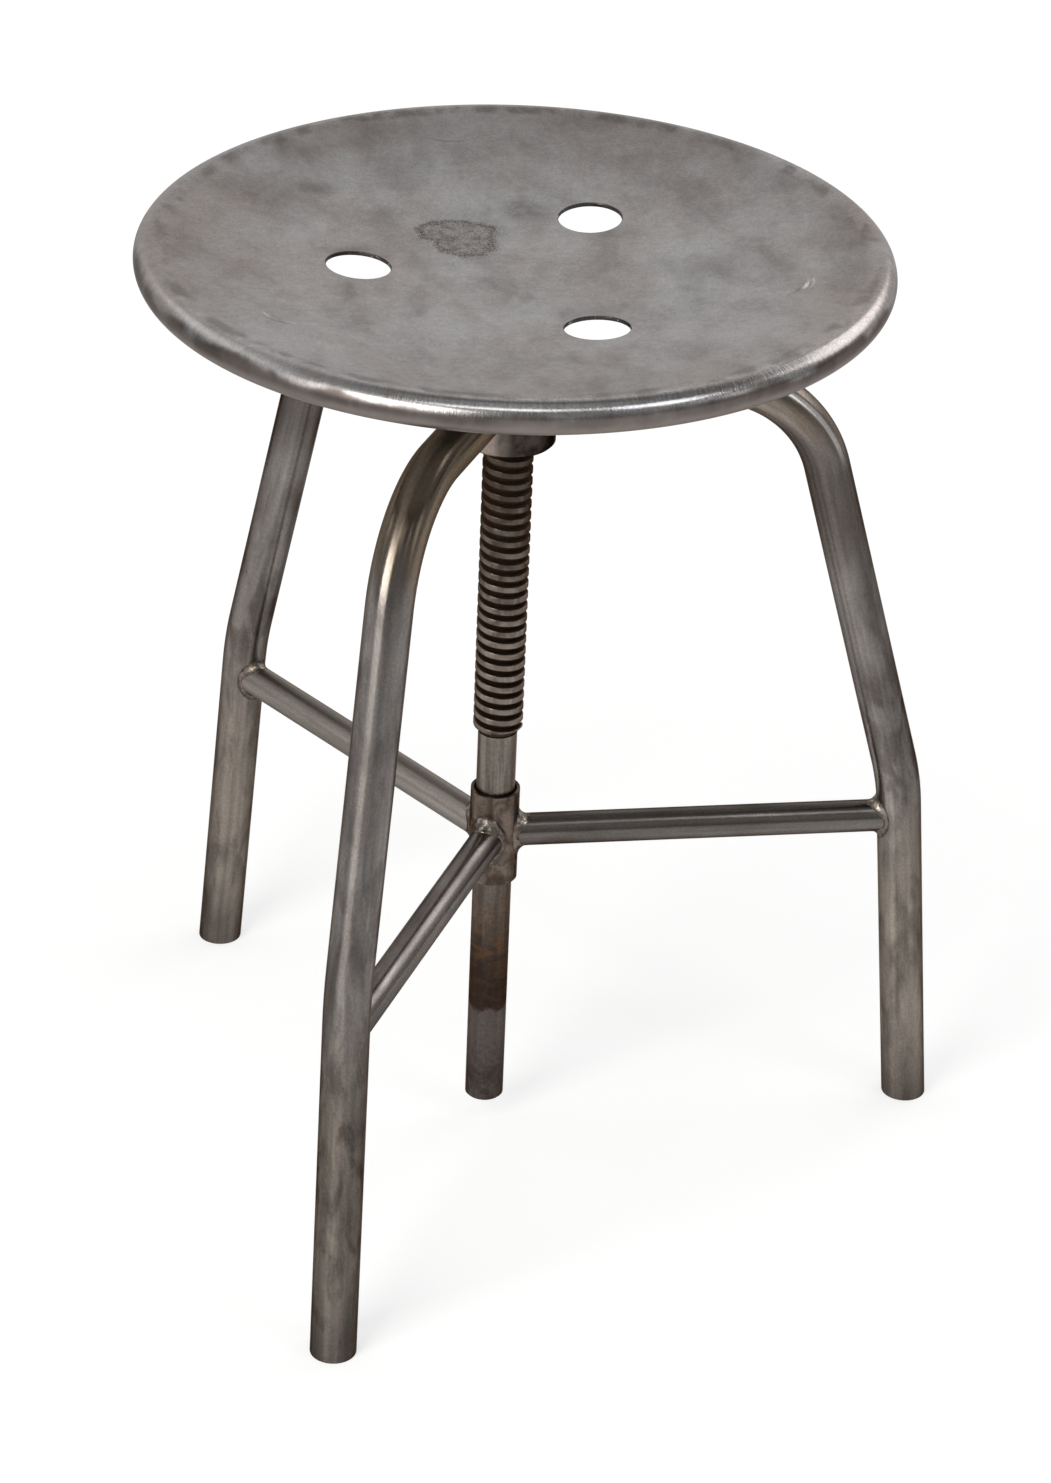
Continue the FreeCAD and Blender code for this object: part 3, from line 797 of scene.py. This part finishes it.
def rounded(curve, radius, count):
    """Curve with its corners rounded."""
    sockets = {"Curve": curve, "Count": count, "Radius": radius, "Limit Radius": True}
    return add(curve.tree, "GeometryNodeFilletCurve", sockets, mode="POLY")


def shifted(geometry, sockets):
    """Geometry with its points moved."""
    return add(geometry.tree, "GeometryNodeSetPosition", {"Geometry": geometry} | sockets)


# Geometry Nodes trees

def bent_tube_group():
    """Tube along a corner path: rounds its corners, fits the start to a post and the end to the floor."""
    tree, given = node_group(
        "Bent tube",
        ("Radius", "Float", 0.011),
        ("Segments", "Int", 48),
        ("Step", "Float", 0.0025),
        ("Post radius", "Float", 0.02),
        ("Heading", "Vector", (1.0, 0.0, 0.0)),
        ("Foot slope", "Vector", ORIGIN),
        ("Shift", "Float", 0.0),
        ("Material", "Material", None),
    )
    path = add(tree, "GeometryNodeMeshToCurve", {"Mesh": given["Geometry"]})
    path = rounded(path, stored(tree, "bend"), 40)
    path = add(tree, "GeometryNodeResampleCurve", {"Curve": path, "Length": given["Step"]}, mode="LENGTH")
    path = store(path, "run", add(tree, "GeometryNodeSplineParameter", output="Length"))
    path = store(path, "tube_along", add(tree, "GeometryNodeInputTangent"), "FLOAT_VECTOR")
    sockets = {"Resolution": given["Segments"], "Radius": given["Radius"]}
    section = add(tree, "GeometryNodeCurvePrimitiveCircle", sockets)
    section = store(section, "turn", add(tree, "GeometryNodeSplineParameter", output="Factor"))
    skin = add(tree, "GeometryNodeCurveToMesh", {"Curve": path, "Profile Curve": section})

    # The tube's own coordinates, as if it were straight
    run = stored(tree, "run")
    swing = stored(tree, "turn") * (2 * math.pi)
    across, outward = (calc(wave, swing) * given["Radius"] for wave in ("COSINE", "SINE"))
    skin = store(skin, "tube_place", join_xyz(across, outward, run + given["Shift"]), "FLOAT_VECTOR")

    # The start is coped to the post, and the foot is levelled
    position = add(tree, "GeometryNodeInputPosition")
    flat = vector_calc("MULTIPLY", position, LEVEL)
    along = vector_calc("DOT_PRODUCT", flat, given["Heading"])
    beside = vector_calc("DOT_PRODUCT", flat, flat) - along * along
    on_post = calc("SQRT", calc("MAXIMUM", calc("POWER", given["Post radius"], 2.0) - beside, 0.0))
    slide = scaled(given["Heading"], on_post - along)
    skin = shifted(skin, {"Selection": calc("LESS_THAN", run, 1e-5), "Offset": slide})
    height = split(position)[2]
    drop = scaled(given["Foot slope"], height * -1.0)
    skin = shifted(skin, {"Selection": calc("LESS_THAN", height, 1.2 * MM), "Offset": drop})
    for name in ("run", "turn", "bend"):
        skin = add(tree, "GeometryNodeRemoveAttribute", {"Geometry": skin, "Name": name})
    return finish_group(skin, given["Material"])


def thread_group():
    """Helical ridge wound round a core that is handed in as the geometry."""
    tree, given = node_group(
        "Thread ridge",
        ("Turns", "Float", 10.0),
        ("Pitch", "Float", 0.006),
        ("Middle radius", "Float", 0.010),
        ("Depth", "Float", 0.004),
        ("Crest", "Float", 0.003),
        ("Wear", "Float", 0.0003),
        ("Steps", "Int", 72),
        ("Start", "Vector", ORIGIN),
        ("End height", "Float", 0.0),
        ("End radius", "Float", 0.009),
        ("Material", "Material", None),
    )
    sockets = {
        "Resolution": given["Steps"],
        "Rotations": given["Turns"],
        "Start Radius": given["Middle radius"],
        "End Radius": given["Middle radius"],
        "Height": given["Turns"] * given["Pitch"],
        "Reverse": False,
    }
    spiral = add(tree, "GeometryNodeCurveSpiral", sockets)
    spiral = add(tree, "GeometryNodeSetCurveNormal", {"Curve": spiral}, mode="Z_UP")
    sockets = {"Width": given["Depth"], "Height": given["Crest"]}
    section = add(tree, "GeometryNodeCurvePrimitiveQuadrilateral", sockets, mode="RECTANGLE")
    section = rounded(section, given["Wear"], 3)
    sockets = {"Curve": spiral, "Profile Curve": section, "Fill Caps": True}
    ridge = add(tree, "GeometryNodeCurveToMesh", sockets)
    ridge = add(tree, "GeometryNodeTransform", {"Geometry": ridge, "Translation": given["Start"]})
    both = tree.nodes.new("GeometryNodeJoinGeometry")
    for part in (given["Geometry"], ridge):
        plug(tree, both.inputs[0], part)

    # The lower end is chamfered
    x, y, z = split(add(tree, "GeometryNodeInputPosition"))
    reach = vector_calc("LENGTH", join_xyz(x, y, 0.0))
    limit = z - given["End height"] + given["End radius"]
    narrow = calc("MINIMUM", calc("DIVIDE", limit, calc("MAXIMUM", reach, 1e-6)), 1.0)
    tapered = join_xyz(x * narrow, y * narrow, z)
    screw = shifted(Value(tree, both.outputs[0]), {"Position": tapered})
    return finish_group(screw, given["Material"])


def weld_group():
    """Weld metal with the uneven skin of a hand-laid bead."""
    tree, given = node_group(
        "Weld bead",
        ("Lump", "Float", 0.0006),
        ("Ripple", "Float", 0.0002),
        ("Sink", "Float", 0.0002),
        ("Material", "Material", None),
    )
    bead = add(tree, "GeometryNodeMergeByDistance", {"Geometry": given["Geometry"], "Distance": 2e-6})
    position = add(tree, "GeometryNodeInputPosition")
    lump = ease(cloud(position, 190.0, 2.0, 0.5), 0.35, 0.70)
    ripple = ease(cloud(position, 620.0, 2.0, 0.5), 0.35, 0.70)
    rise = lump * given["Lump"] + ripple * given["Ripple"] - given["Sink"]
    push = scaled(add(tree, "GeometryNodeInputNormal"), rise)
    bead = shifted(bead, {"Offset": push})
    return finish_group(bead, given["Material"])


# Pieces

# Dents in the seat, as (x, y, heading, half length, width, depth): a crescent scratch at the front left, a
# thumb-long dent at the right and a faint scratch at the back.
DENTS = (
    (-0.1155, -0.0670, math.radians(-38.0), 0.0090, 0.0011, 0.00042),
    (0.1290, -0.0400, math.radians(58.0), 0.0090, 0.0019, 0.00085),
    (-0.0160, 0.1345, math.radians(-2.0), 0.0110, 0.0010, 0.00012),
)
DENT_STEP = 0.5 * MM
DENT_STEPS = range(-32, 33)

# Slow waves end at one radius and fade over a width before it. The underside is drawn in from a radius on.
WAVE_END = 0.160
WAVE_FADE = 0.03
WAVE_SCALE = 28.0
WAVE_SEED = 0.4
UNDER_FROM = 0.1
RIM_POINTS = 360
HOLE_POINTS = 72
ROLL_STEPS = 40
LIP_STEPS = 8

# Rings of points round each hole, as (distance from its edge, count), and the space kept clear for them.
HOLE_RINGS = ((0.0007, 72), (0.0019, 60), (0.0040, 48))
HOLE_SPACE = 5.5 * MM


class STOOL_OT_seat(Operator):
    """Dished seat of pressed sheet with a rolled rim, worn hole edges and old dents"""

    bl_idname = "stool.seat"
    bl_label = "Seat"

    def execute(self, context):
        settings = context.scene.stool_seat
        grain_heading = context.scene.stool_stage.turn
        material = steel("seat_worn_steel", seat_paint, settings, grain_heading, edge=SEAT_EDGE)
        new_piece("seat_dish", self.pan(settings), material, "seat", "seat_pan")
        return {"FINISHED"}

    def pan(self, settings):
        sheet, roll = settings.sheet, settings.roll
        bottom = PAN_LOW.z + sheet
        depth = PAN_HIGH.z - bottom
        roll_r, roll_z = PAN_HIGH.x - roll, PAN_HIGH.z - roll
        drop = depth - roll
        sphere = (roll_r**2 + drop**2 - roll**2) / (2 * depth)
        centre_z = bottom + sphere
        tangent = math.atan2(centre_z - roll_z, -roll_r)
        top_edge = roll_r + roll * math.cos(tangent)
        under_edge = roll_r + (roll - sheet) * math.cos(tangent)
        holes = hole_spots(settings)
        cut = settings.hole_radius + settings.hole_edge

        def top_height(x, y):
            height = centre_z - math.sqrt(sphere**2 - x * x - y * y)
            return height + self.wave(x, y, settings) + self.dents(x, y)

        def under_height(x, y):
            return centre_z - math.sqrt((sphere + sheet) ** 2 - x * x - y * y) + self.wave(x, y, settings)

        points, edges, loops = self.outline(top_edge, holes, cut, settings.mesh_step)
        flat, _, faces, _, _, _ = delaunay_2d_cdt(points, edges, [], 0, 1e-7)
        faces = [face for face in faces if self.keeps([flat[i] for i in face], holes, cut)]
        build = bmesh.new()
        top = [build.verts.new((p.x, p.y, top_height(p.x, p.y))) for p in flat]
        under = []
        for p in flat:
            reach = min(max((p.length - UNDER_FROM) / (top_edge - UNDER_FROM), 0.0), 1.0)
            spread = 1.0 + (under_edge / top_edge - 1.0) * reach * reach
            x, y = p.x * spread, p.y * spread
            under.append(build.verts.new((x, y, under_height(x, y))))
        for face in faces:
            build.faces.new([top[i] for i in face])
            build.faces.new([under[i] for i in reversed(face)])
        for loop, hole in zip(loops[1:], holes):
            self.hole_wall(build, [top[i] for i in loop], [under[i] for i in loop], hole, settings)
        self.rolled_rim(build, [top[i] for i in loops[0]], [under[i] for i in loops[0]], settings, tangent)
        loose = [vertex for vertex in build.verts if not vertex.link_faces]
        bmesh.ops.delete(build, geom=loose, context="VERTS")
        bmesh.ops.recalc_face_normals(build, faces=build.faces)
        mesh = bpy.data.meshes.new("seat_dish")
        build.to_mesh(mesh)
        build.free()
        return mesh

    def wave(self, x, y, settings):
        """Slow waves of the sheet, which fade out towards the rim."""
        fade = min(max((WAVE_END - math.hypot(x, y)) / WAVE_FADE, 0.0), 1.0)
        return settings.ripple * fade * noise.noise(Vector((x * WAVE_SCALE, y * WAVE_SCALE, WAVE_SEED)))

    def dents(self, x, y):
        """Curved hollows with a raised lip along one side."""
        height = 0.0
        for dent_x, dent_y, heading, long_half, wide, deep in DENTS:
            dx, dy = x - dent_x, y - dent_y
            along = dx * math.cos(heading) + dy * math.sin(heading)
            across = -dx * math.sin(heading) + dy * math.cos(heading)
            across -= 0.25 * along * along / long_half
            if abs(along) > 2.5 * long_half or abs(across) > 6 * wide:
                continue
            fall = math.exp(-((along / long_half) ** 2)) * deep
            lip = 0.9 * math.exp(-(((across - wide) / wide) ** 2))
            height += fall * (lip - math.exp(-((across / wide) ** 2)))
        return height

    def outline(self, edge, holes, cut, step):
        """Points spread over the dish, with closed loops round its edge and holes."""
        points, edges, loops = [], [], []
        borders = [circle(edge, RIM_POINTS)] + [circle(cut, HOLE_POINTS, 0.0, hole) for hole in holes]
        for border in borders:
            first, count = len(points), len(border)
            points.extend(border)
            edges.extend((first + i, first + (i + 1) % count) for i in range(count))
            loops.append(list(range(first, first + count)))
        for hole in holes:
            for reach, count in HOLE_RINGS:
                points.extend(circle(cut + reach, count, 0.5, hole))
        rings = int(edge / step)
        for ring in range(rings):
            radius = edge * ring / rings
            spread = max(0.0, (radius - 0.8 * edge) / (0.2 * edge))
            count = max(1, round((2 * math.pi * radius / step) * (1.0 + 0.1 * spread)))
            for point in circle(radius, count, 0.5 * (ring % 2)):
                if all((point - hole).length > cut + HOLE_SPACE for hole in holes):
                    points.append(point)
        for x, y, *_ in DENTS:
            for i in DENT_STEPS:
                for j in DENT_STEPS:
                    points.append(Vector((x + (i + 0.31) * DENT_STEP, y + (j + 0.17) * DENT_STEP)))
        return points, edges, loops

    def keeps(self, corners, holes, cut):
        middle = sum(corners, Vector((0.0, 0.0))) / len(corners)
        return all((middle - hole).length > cut * 0.999 for hole in holes)

    def bridge(self, build, first, second):
        count = len(first)
        for i in range(count):
            j = (i + 1) % count
            build.faces.new((first[i], first[j], second[j], second[i]))

    def hole_wall(self, build, top, under, hole, settings):
        """Wall of a hole, rounded into the seat's top and underside."""
        edge = settings.hole_edge
        steps = [(top, turn, 1) for turn in (30.0, 60.0, 90.0)]
        steps += [(under, turn, -1) for turn in (90.0, 60.0, 30.0)]
        previous = top
        for border, turn, side in steps:
            bend = math.radians(turn)
            inward, down = edge * math.sin(bend), side * edge * (1 - math.cos(bend))
            ring = [self.lowered(build, vertex, hole, inward, down) for vertex in border]
            self.bridge(build, previous, ring)
            previous = ring
        self.bridge(build, previous, under)

    def lowered(self, build, vertex, hole, inward, down):
        out = Vector((vertex.co.x - hole.x, vertex.co.y - hole.y, 0.0)).normalized()
        return build.verts.new(vertex.co - out * inward - Vector((0.0, 0.0, down)))

    def rolled_rim(self, build, top, under, settings, tangent):
        """Rim rolled over from the dish, round its lip and back along the inside of the sheet."""
        sheet, roll = settings.sheet, settings.roll
        roll_r, roll_z = PAN_HIGH.x - roll, PAN_HIGH.z - roll
        down = -math.pi / 2
        lip = sheet / 2
        section = []
        for step in range(1, ROLL_STEPS + 1):
            section.append((roll, tangent + (down - tangent) * step / ROLL_STEPS))
        for step in range(1, LIP_STEPS):
            bend = math.pi * step / LIP_STEPS
            section.append((roll - lip + lip * math.cos(bend), down - 0.6 * lip * math.sin(bend) / roll))
        for step in range(ROLL_STEPS):
            section.append((roll - sheet, down + (tangent - down) * step / ROLL_STEPS))
        previous = top
        for reach, turn in section:
            radius = roll_r + reach * math.cos(turn)
            height = roll_z + reach * math.sin(turn)
            ring = []
            for vertex in top:
                out = Vector((vertex.co.x, vertex.co.y, 0.0)).normalized()
                ring.append(build.verts.new(out * radius + Vector((0.0, 0.0, height))))
            self.bridge(build, previous, ring)
            previous = ring
        self.bridge(build, previous, under)


# Tubes reach this far into the post that they are welded to.
HUB_BITE = 0.8 * MM
SLEEVE_BITE = 0.7 * MM
TUBE_STEP = 2.5 * MM
END_EASE = 0.4 * MM
LEG_SEGMENTS = 48
SPOKE_SEGMENTS = 40


def set_up(point, heading, settings):
    """Place of a point of a leg's own plane once the leg leans and stands at its heading."""
    pivot = Vector((0.0, 0.0, settings.run_height))
    leaned = Matrix.Rotation(settings.lean, 3, "X") @ (Vector(point) - pivot) + pivot
    return Matrix.Rotation(heading, 3, "Z") @ leaned


def tube_mesh(name, tree, path, bends, values, wall):
    """Plain mesh of a tube with its wall and eased ends."""
    source = scratch(name, path, [(i, i + 1) for i in range(len(path) - 1)])
    bend = source.data.attributes.new("bend", "FLOAT", "POINT")
    bend.data.foreach_set("value", bends)
    use_group(source, tree, values)
    thick = source.modifiers.new("Wall", "SOLIDIFY")
    thick.thickness = wall
    thick.offset = -1.0
    eased = source.modifiers.new("Ends", "BEVEL")
    eased.width = END_EASE
    eased.segments = 2
    eased.limit_method = "ANGLE"
    eased.angle_limit = math.radians(60.0)
    mesh = evaluated_mesh(source, name)
    for vertex in mesh.vertices:
        vertex.co.z = max(vertex.co.z, CAD_BOX[0].z)
    return mesh


class STOOL_OT_tubes(Operator):
    """Three bent legs and the three spokes between them and the guide sleeve"""

    bl_idname = "stool.tubes"
    bl_label = "Legs and spokes"

    def execute(self, context):
        settings = context.scene.stool_frame
        material = steel("tube_worn_steel", tube_paint, settings, brushed=0.75)
        tree = bent_tube_group()
        for side in SIDES:
            heading = getattr(settings, side + "_heading")
            for node, shape in ((side + "_leg", self.leg), (side + "_spoke", self.spoke)):
                path, bends, wall, values = shape(heading, settings)
                values |= {"Step": TUBE_STEP, "Shift": RUN_STARTS[node], "Material": material}
                mesh = tube_mesh(node + "_tube", tree, path, bends, values, wall)
                new_piece(node + "_tube", mesh, material, "frame", node)
            set_finish(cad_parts[side + "_foot_plug"].data, material)
        return {"FINISHED"}

    def leg(self, heading, settings):
        post = HUB_HIGH.x - HUB_BITE
        corners = (
            (post, 0.0, settings.run_height),
            (settings.shoulder_reach, 0.0, settings.run_height),
            (settings.knee_reach, 0.0, settings.knee_height),
            (settings.foot_reach, 0.0, 0.0),
        )
        path = [set_up(corner, heading, settings) for corner in corners]
        shank = path[3] - path[2]
        slope = shank / shank.z
        path[3] = path[3] - slope * path[3].z
        bends = [0.0, settings.shoulder_bend, settings.knee_bend, 0.0]
        values = {
            "Radius": settings.leg_radius,
            "Segments": LEG_SEGMENTS,
            "Post radius": post,
            "Heading": Vector((math.cos(heading), math.sin(heading), 0.0)),
            "Foot slope": slope,
        }
        return path, bends, settings.leg_wall, values

    def spoke(self, heading, settings):
        knee = Vector((settings.knee_reach, 0.0, settings.knee_height))
        foot = Vector((settings.foot_reach, 0.0, 0.0))
        drop = settings.run_height - settings.spoke_height
        height = settings.run_height - drop / math.cos(settings.lean)
        end = set_up(foot.lerp(knee, height / knee.z), heading, settings)
        toward = Vector((end.x, end.y, 0.0)).normalized()
        post = SLEEVE_HIGH.x - SLEEVE_BITE
        start = toward * post + Vector((0.0, 0.0, end.z))
        values = {
            "Radius": settings.spoke_radius,
            "Segments": SPOKE_SEGMENTS,
            "Post radius": post,
            "Heading": toward,
            "Foot slope": ORIGIN,
        }
        return [start, end], [0.0, 0.0], settings.spoke_wall, values


# The ridge keeps a gap at both ends and is rooted in the core.
THREAD_GAP = 0.1 * MM
THREAD_ROOT = 0.6 * MM
CORE_CHAMFER = 0.4 * MM
COLLAR_CHAMFER = 0.6 * MM
SCREW_SEGMENTS = 96


class STOOL_OT_screw(Operator):
    """Lift screw with its worn square thread and stop collar, and the guide rod below it"""

    bl_idname = "stool.screw"
    bl_label = "Screw and rod"

    def execute(self, context):
        settings = context.scene.stool_screw
        material = steel("screw_greased_steel", thread_paint, settings)
        core = settings.radius - settings.depth
        low, top = SCREW_LOW.z, SCREW_HIGH.z
        collar_low = top - settings.collar_height
        profile = [
            (settings.socket, low + settings.socket_depth),
            (settings.socket, low),
            (core - CORE_CHAMFER, low),
            (core, low + CORE_CHAMFER),
            (core, collar_low),
            (settings.collar - COLLAR_CHAMFER, collar_low),
            (settings.collar, collar_low + COLLAR_CHAMFER),
            (settings.collar, top),
            (0.0, top),
        ]
        points, faces = lathe(profile, SCREW_SEGMENTS)
        source = scratch("screw_core", points, [], faces)
        start = low + settings.crest / 2 + THREAD_GAP
        rise = collar_low - settings.crest / 2 - THREAD_GAP - start
        inner = core - THREAD_ROOT
        values = {
            "Turns": rise / settings.pitch,
            "Pitch": settings.pitch,
            "Middle radius": (settings.radius + inner) / 2,
            "Depth": settings.radius - inner,
            "Crest": settings.crest,
            "Wear": settings.wear,
            "Steps": settings.steps,
            "Start": Vector((0.0, 0.0, start)),
            "End height": low,
            "End radius": settings.radius - settings.chamfer,
            "Material": material,
        }
        use_group(source, thread_group(), values)
        mesh = evaluated_mesh(source, "lift_thread")
        new_piece("lift_thread", mesh, material, "seat", "lift_screw")
        stained = steel("rod_stained_steel", rod_paint, settings, edge=ROD_EDGE)
        set_finish(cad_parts["guide_rod"].data, stained)
        return {"FINISHED"}


class STOOL_OT_hub(Operator):
    """Finish of the hub, sleeve, bush and seat flange"""

    bl_idname = "stool.hub"
    bl_label = "Hub and sleeve"

    def execute(self, context):
        hub = steel("hub_brown_steel", upright_paint, *HUB_SHADED_FINISH)
        sleeve = steel("sleeve_steel", upright_paint, *SLEEVE_FINISH)
        bush = steel("bush_bronze", upright_paint, *BRONZE_FINISH)
        finishes = {"threaded_hub": hub, "guide_sleeve": sleeve, "seat_flange": sleeve, "guide_bush": bush}
        for node, material in finishes.items():
            set_finish(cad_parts[node].data, material)
        return {"FINISHED"}


FRAME_SEAMS = ("hub_weld", "spoke_leg_weld", "spoke_sleeve_weld")
WELD_SKIN = {"Lump": 0.25 * MM, "Ripple": 0.06 * MM, "Sink": 0.28 * MM}


class STOOL_OT_welds(Operator):
    """Hand-laid welds of the hub, spokes, collar and seat"""

    bl_idname = "stool.welds"
    bl_label = "Welds"

    def execute(self, context):
        material = steel("weld_ground_steel", weld_paint, context.scene.stool_frame)
        tree = weld_group()
        values = WELD_SKIN | {"Material": material}
        seams = [(side + "_" + seam, "frame") for side in SIDES for seam in FRAME_SEAMS]
        seams += [("seat_weld", "seat"), ("collar_weld", "seat")]
        for node, body in seams:
            source = linked(node + "_bead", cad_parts[node].data.copy())
            use_group(source, tree, values)
            mesh = evaluated_mesh(source, node + "_bead")
            new_piece(node + "_bead", mesh, material, body, node)
        return {"FINISHED"}


# Stage

# Soft lamps, as (name, heading, rise, distance, size, power, tint), aimed at a point of the spindle.
LAMP_AIM = Vector((0.0, 0.0, 0.40))
LAMPS = (
    ("lamp_left", 156.0, 40.0, 1.6, (1.2, 0.6), 2.7, (1.0, 0.98, 0.95)),
    ("lamp_front_left", -126.0, 25.0, 1.7, (0.9, 1.1), 24.0, (1.0, 0.98, 0.95)),
    ("lamp_top", -94.0, 61.0, 2.0, (1.1, 0.35), 4.4, (1.0, 1.0, 1.0)),
    ("lamp_front_right", -36.0, 50.0, 1.8, (0.5, 0.5), 4.0, (0.92, 0.96, 1.0)),
    ("lamp_low_right", -22.0, 22.0, 1.6, (0.25, 0.5), 0.8, (1.0, 1.0, 1.0)),
    ("lamp_right", 36.0, 32.0, 1.7, (1.3, 0.80), 6.8, (1.0, 0.985, 0.97)),
)

# The floor glows less and takes more shade close to the stool, and glows less still on the camera's side.
CLOSE, FAR = 0.35, 0.85
CLOSE_GLOW, FAR_GLOW, GLOW_FALL = 0.632, 0.915, 0.104
CLOSE_GREY, FAR_GREY = 0.40, 0.16
PLAIN_GREY = (0.9, 0.9, 0.9, 1.0)
FLOOR_RINGS = [(0.0, 0.0), (0.5, 0.0), (1.0, 0.0), (20.0, 0.0)]


class STOOL_OT_stage(Operator):
    """White floor, soft studio light and the camera"""

    bl_idname = "stool.stage"
    bl_label = "Stage"

    def execute(self, context):
        settings = context.scene.stool_stage
        context.scene.view_settings.view_transform = "Standard"
        to_camera = (math.sin(settings.turn), -math.cos(settings.turn), 0.0)
        context.scene.world = self.room(settings, to_camera)
        self.floor(settings, to_camera)
        context.scene.camera = self.camera(settings)
        turn = Matrix.Rotation(settings.turn, 4, "Z")
        for lamp in LAMPS:
            self.lamp(turn, *lamp)
        return {"FINISHED"}

    def lamp(self, turn, name, heading, rise, away, size, power, tint):
        light = bpy.data.lights.new(name, "AREA")
        light.shape = "RECTANGLE"
        light.size, light.size_y = size
        light.energy = power
        light.color = tint
        up = math.radians(rise)
        around = math.radians(heading)
        level = away * math.cos(up)
        spot = Vector((level * math.cos(around), level * math.sin(around), away * math.sin(up))) + LAMP_AIM
        facing = (LAMP_AIM - spot).to_track_quat("-Z", "Y").to_matrix().to_4x4()
        linked(name, light).matrix_world = turn @ Matrix.Translation(spot) @ facing

    def room(self, settings, to_camera):
        """Room that is white behind the stool and dims overhead and towards the camera."""
        world = bpy.data.worlds.new("room")
        world.use_nodes = True
        tree = world.node_tree
        background = next(node for node in tree.nodes if node.type == "BACKGROUND")
        toward = add(tree, "ShaderNodeTexCoord", output="Generated")
        up = split(toward)[2]
        front = vector_calc("DOT_PRODUCT", toward, to_camera)
        level = ease(up, 0.44, 0.94, 1.0, settings.sky) * ease(front, -0.92, -0.30, 1.0, settings.front)
        level = calc("MAXIMUM", level, ease(up, 0.86, 0.98, 0.0, settings.zenith))
        plug(tree, background.inputs["Color"], join_xyz(level, level, level))
        return world

    def floor(self, settings, to_camera):
        """White floor that keeps the stool's shadow."""
        points, faces = lathe(FLOOR_RINGS, 96)
        floor = scratch("floor", points, [], faces)
        floor.location.z = CAD_BOX[0].z - 0.05 * MM
        material = bpy.data.materials.new("floor_white")
        material.use_nodes = True
        tree = material.node_tree
        tree.nodes.clear()
        rays = tree.nodes.new("ShaderNodeLightPath").outputs
        seen = 0.0
        for ray in ("Is Camera Ray", "Is Glossy Ray", "Is Transmission Ray"):
            seen = calc("MAXIMUM", Value(tree, rays[ray]), seen)
        place = object_place(tree)
        reach = vector_calc("LENGTH", place)
        nearer = vector_calc("DOT_PRODUCT", place, to_camera)
        strength = ease(reach, CLOSE, FAR, CLOSE_GLOW - nearer * GLOW_FALL, FAR_GLOW)
        grey = ease(reach, CLOSE, FAR, CLOSE_GREY, FAR_GREY)
        glow = add(tree, "ShaderNodeEmission", {"Color": (*settings.floor, 1.0), "Strength": strength})
        shade = add(tree, "ShaderNodeBsdfDiffuse", {"Color": join_xyz(grey, grey, grey)})
        paper = add(tree, "ShaderNodeAddShader", {0: glow, 1: shade})
        matt = add(tree, "ShaderNodeBsdfDiffuse", {"Color": PLAIN_GREY})
        mixed = add(tree, "ShaderNodeMixShader", {0: seen, 1: matt, 2: paper})
        plug(tree, tree.nodes.new("ShaderNodeOutputMaterial").inputs["Surface"], mixed)
        floor.data.materials.append(material)

    def camera(self, settings):
        yaw, pitch, roll = settings.yaw, settings.pitch, settings.roll
        ahead = Vector((math.sin(yaw) * math.cos(pitch), math.cos(yaw) * math.cos(pitch), math.sin(pitch)))
        across = Vector((math.cos(yaw), -math.sin(yaw), 0.0))
        down = ahead.cross(across)
        right = across * math.cos(roll) + down * math.sin(roll)
        up = across * math.sin(roll) - down * math.cos(roll)
        axes = Matrix((right, up, -ahead)).transposed().to_4x4()
        spot = Matrix.Translation((0.0, -settings.distance, settings.height))
        data = bpy.data.cameras.new("camera")
        data.sensor_fit = "VERTICAL"
        data.sensor_height = 36.0
        data.lens = settings.focal
        data.clip_end = 50.0
        camera = linked("camera", data)
        camera.matrix_world = Matrix.Rotation(settings.turn, 4, "Z") @ spot @ axes
        return camera


OPERATORS = (
    STOOL_OT_seat,
    STOOL_OT_tubes,
    STOOL_OT_screw,
    STOOL_OT_hub,
    STOOL_OT_welds,
    STOOL_OT_stage,
)


class STOOL_PT_panel(Panel):
    """Lists the stool's pieces and their settings"""

    bl_idname = "STOOL_PT_panel"
    bl_label = "Operating stool"
    bl_space_type = "VIEW_3D"
    bl_region_type = "UI"
    bl_category = "Stool"

    def draw(self, context):
        for operator in OPERATORS:
            self.layout.operator(operator.bl_idname)
        for group, kind in GROUPS.items():
            box = self.layout.box()
            for name in kind.__annotations__:
                box.prop(getattr(context.scene, group), name)


def register():
    for group, kind in GROUPS.items():
        bpy.utils.register_class(kind)
        setattr(bpy.types.Scene, group, PointerProperty(type=kind))
    for operator in OPERATORS:
        bpy.utils.register_class(operator)
    bpy.utils.register_class(STOOL_PT_panel)


def unregister():
    bpy.utils.unregister_class(STOOL_PT_panel)
    for operator in reversed(OPERATORS):
        bpy.utils.unregister_class(operator)
    for group, kind in GROUPS.items():
        delattr(bpy.types.Scene, group)
        bpy.utils.unregister_class(kind)


def main():
    register()
    bpy.ops.stool.stage()
    bpy.ops.stool.seat()
    bpy.ops.stool.tubes()
    bpy.ops.stool.screw()
    bpy.ops.stool.hub()
    bpy.ops.stool.welds()


if __name__ == "__main__":
    main()
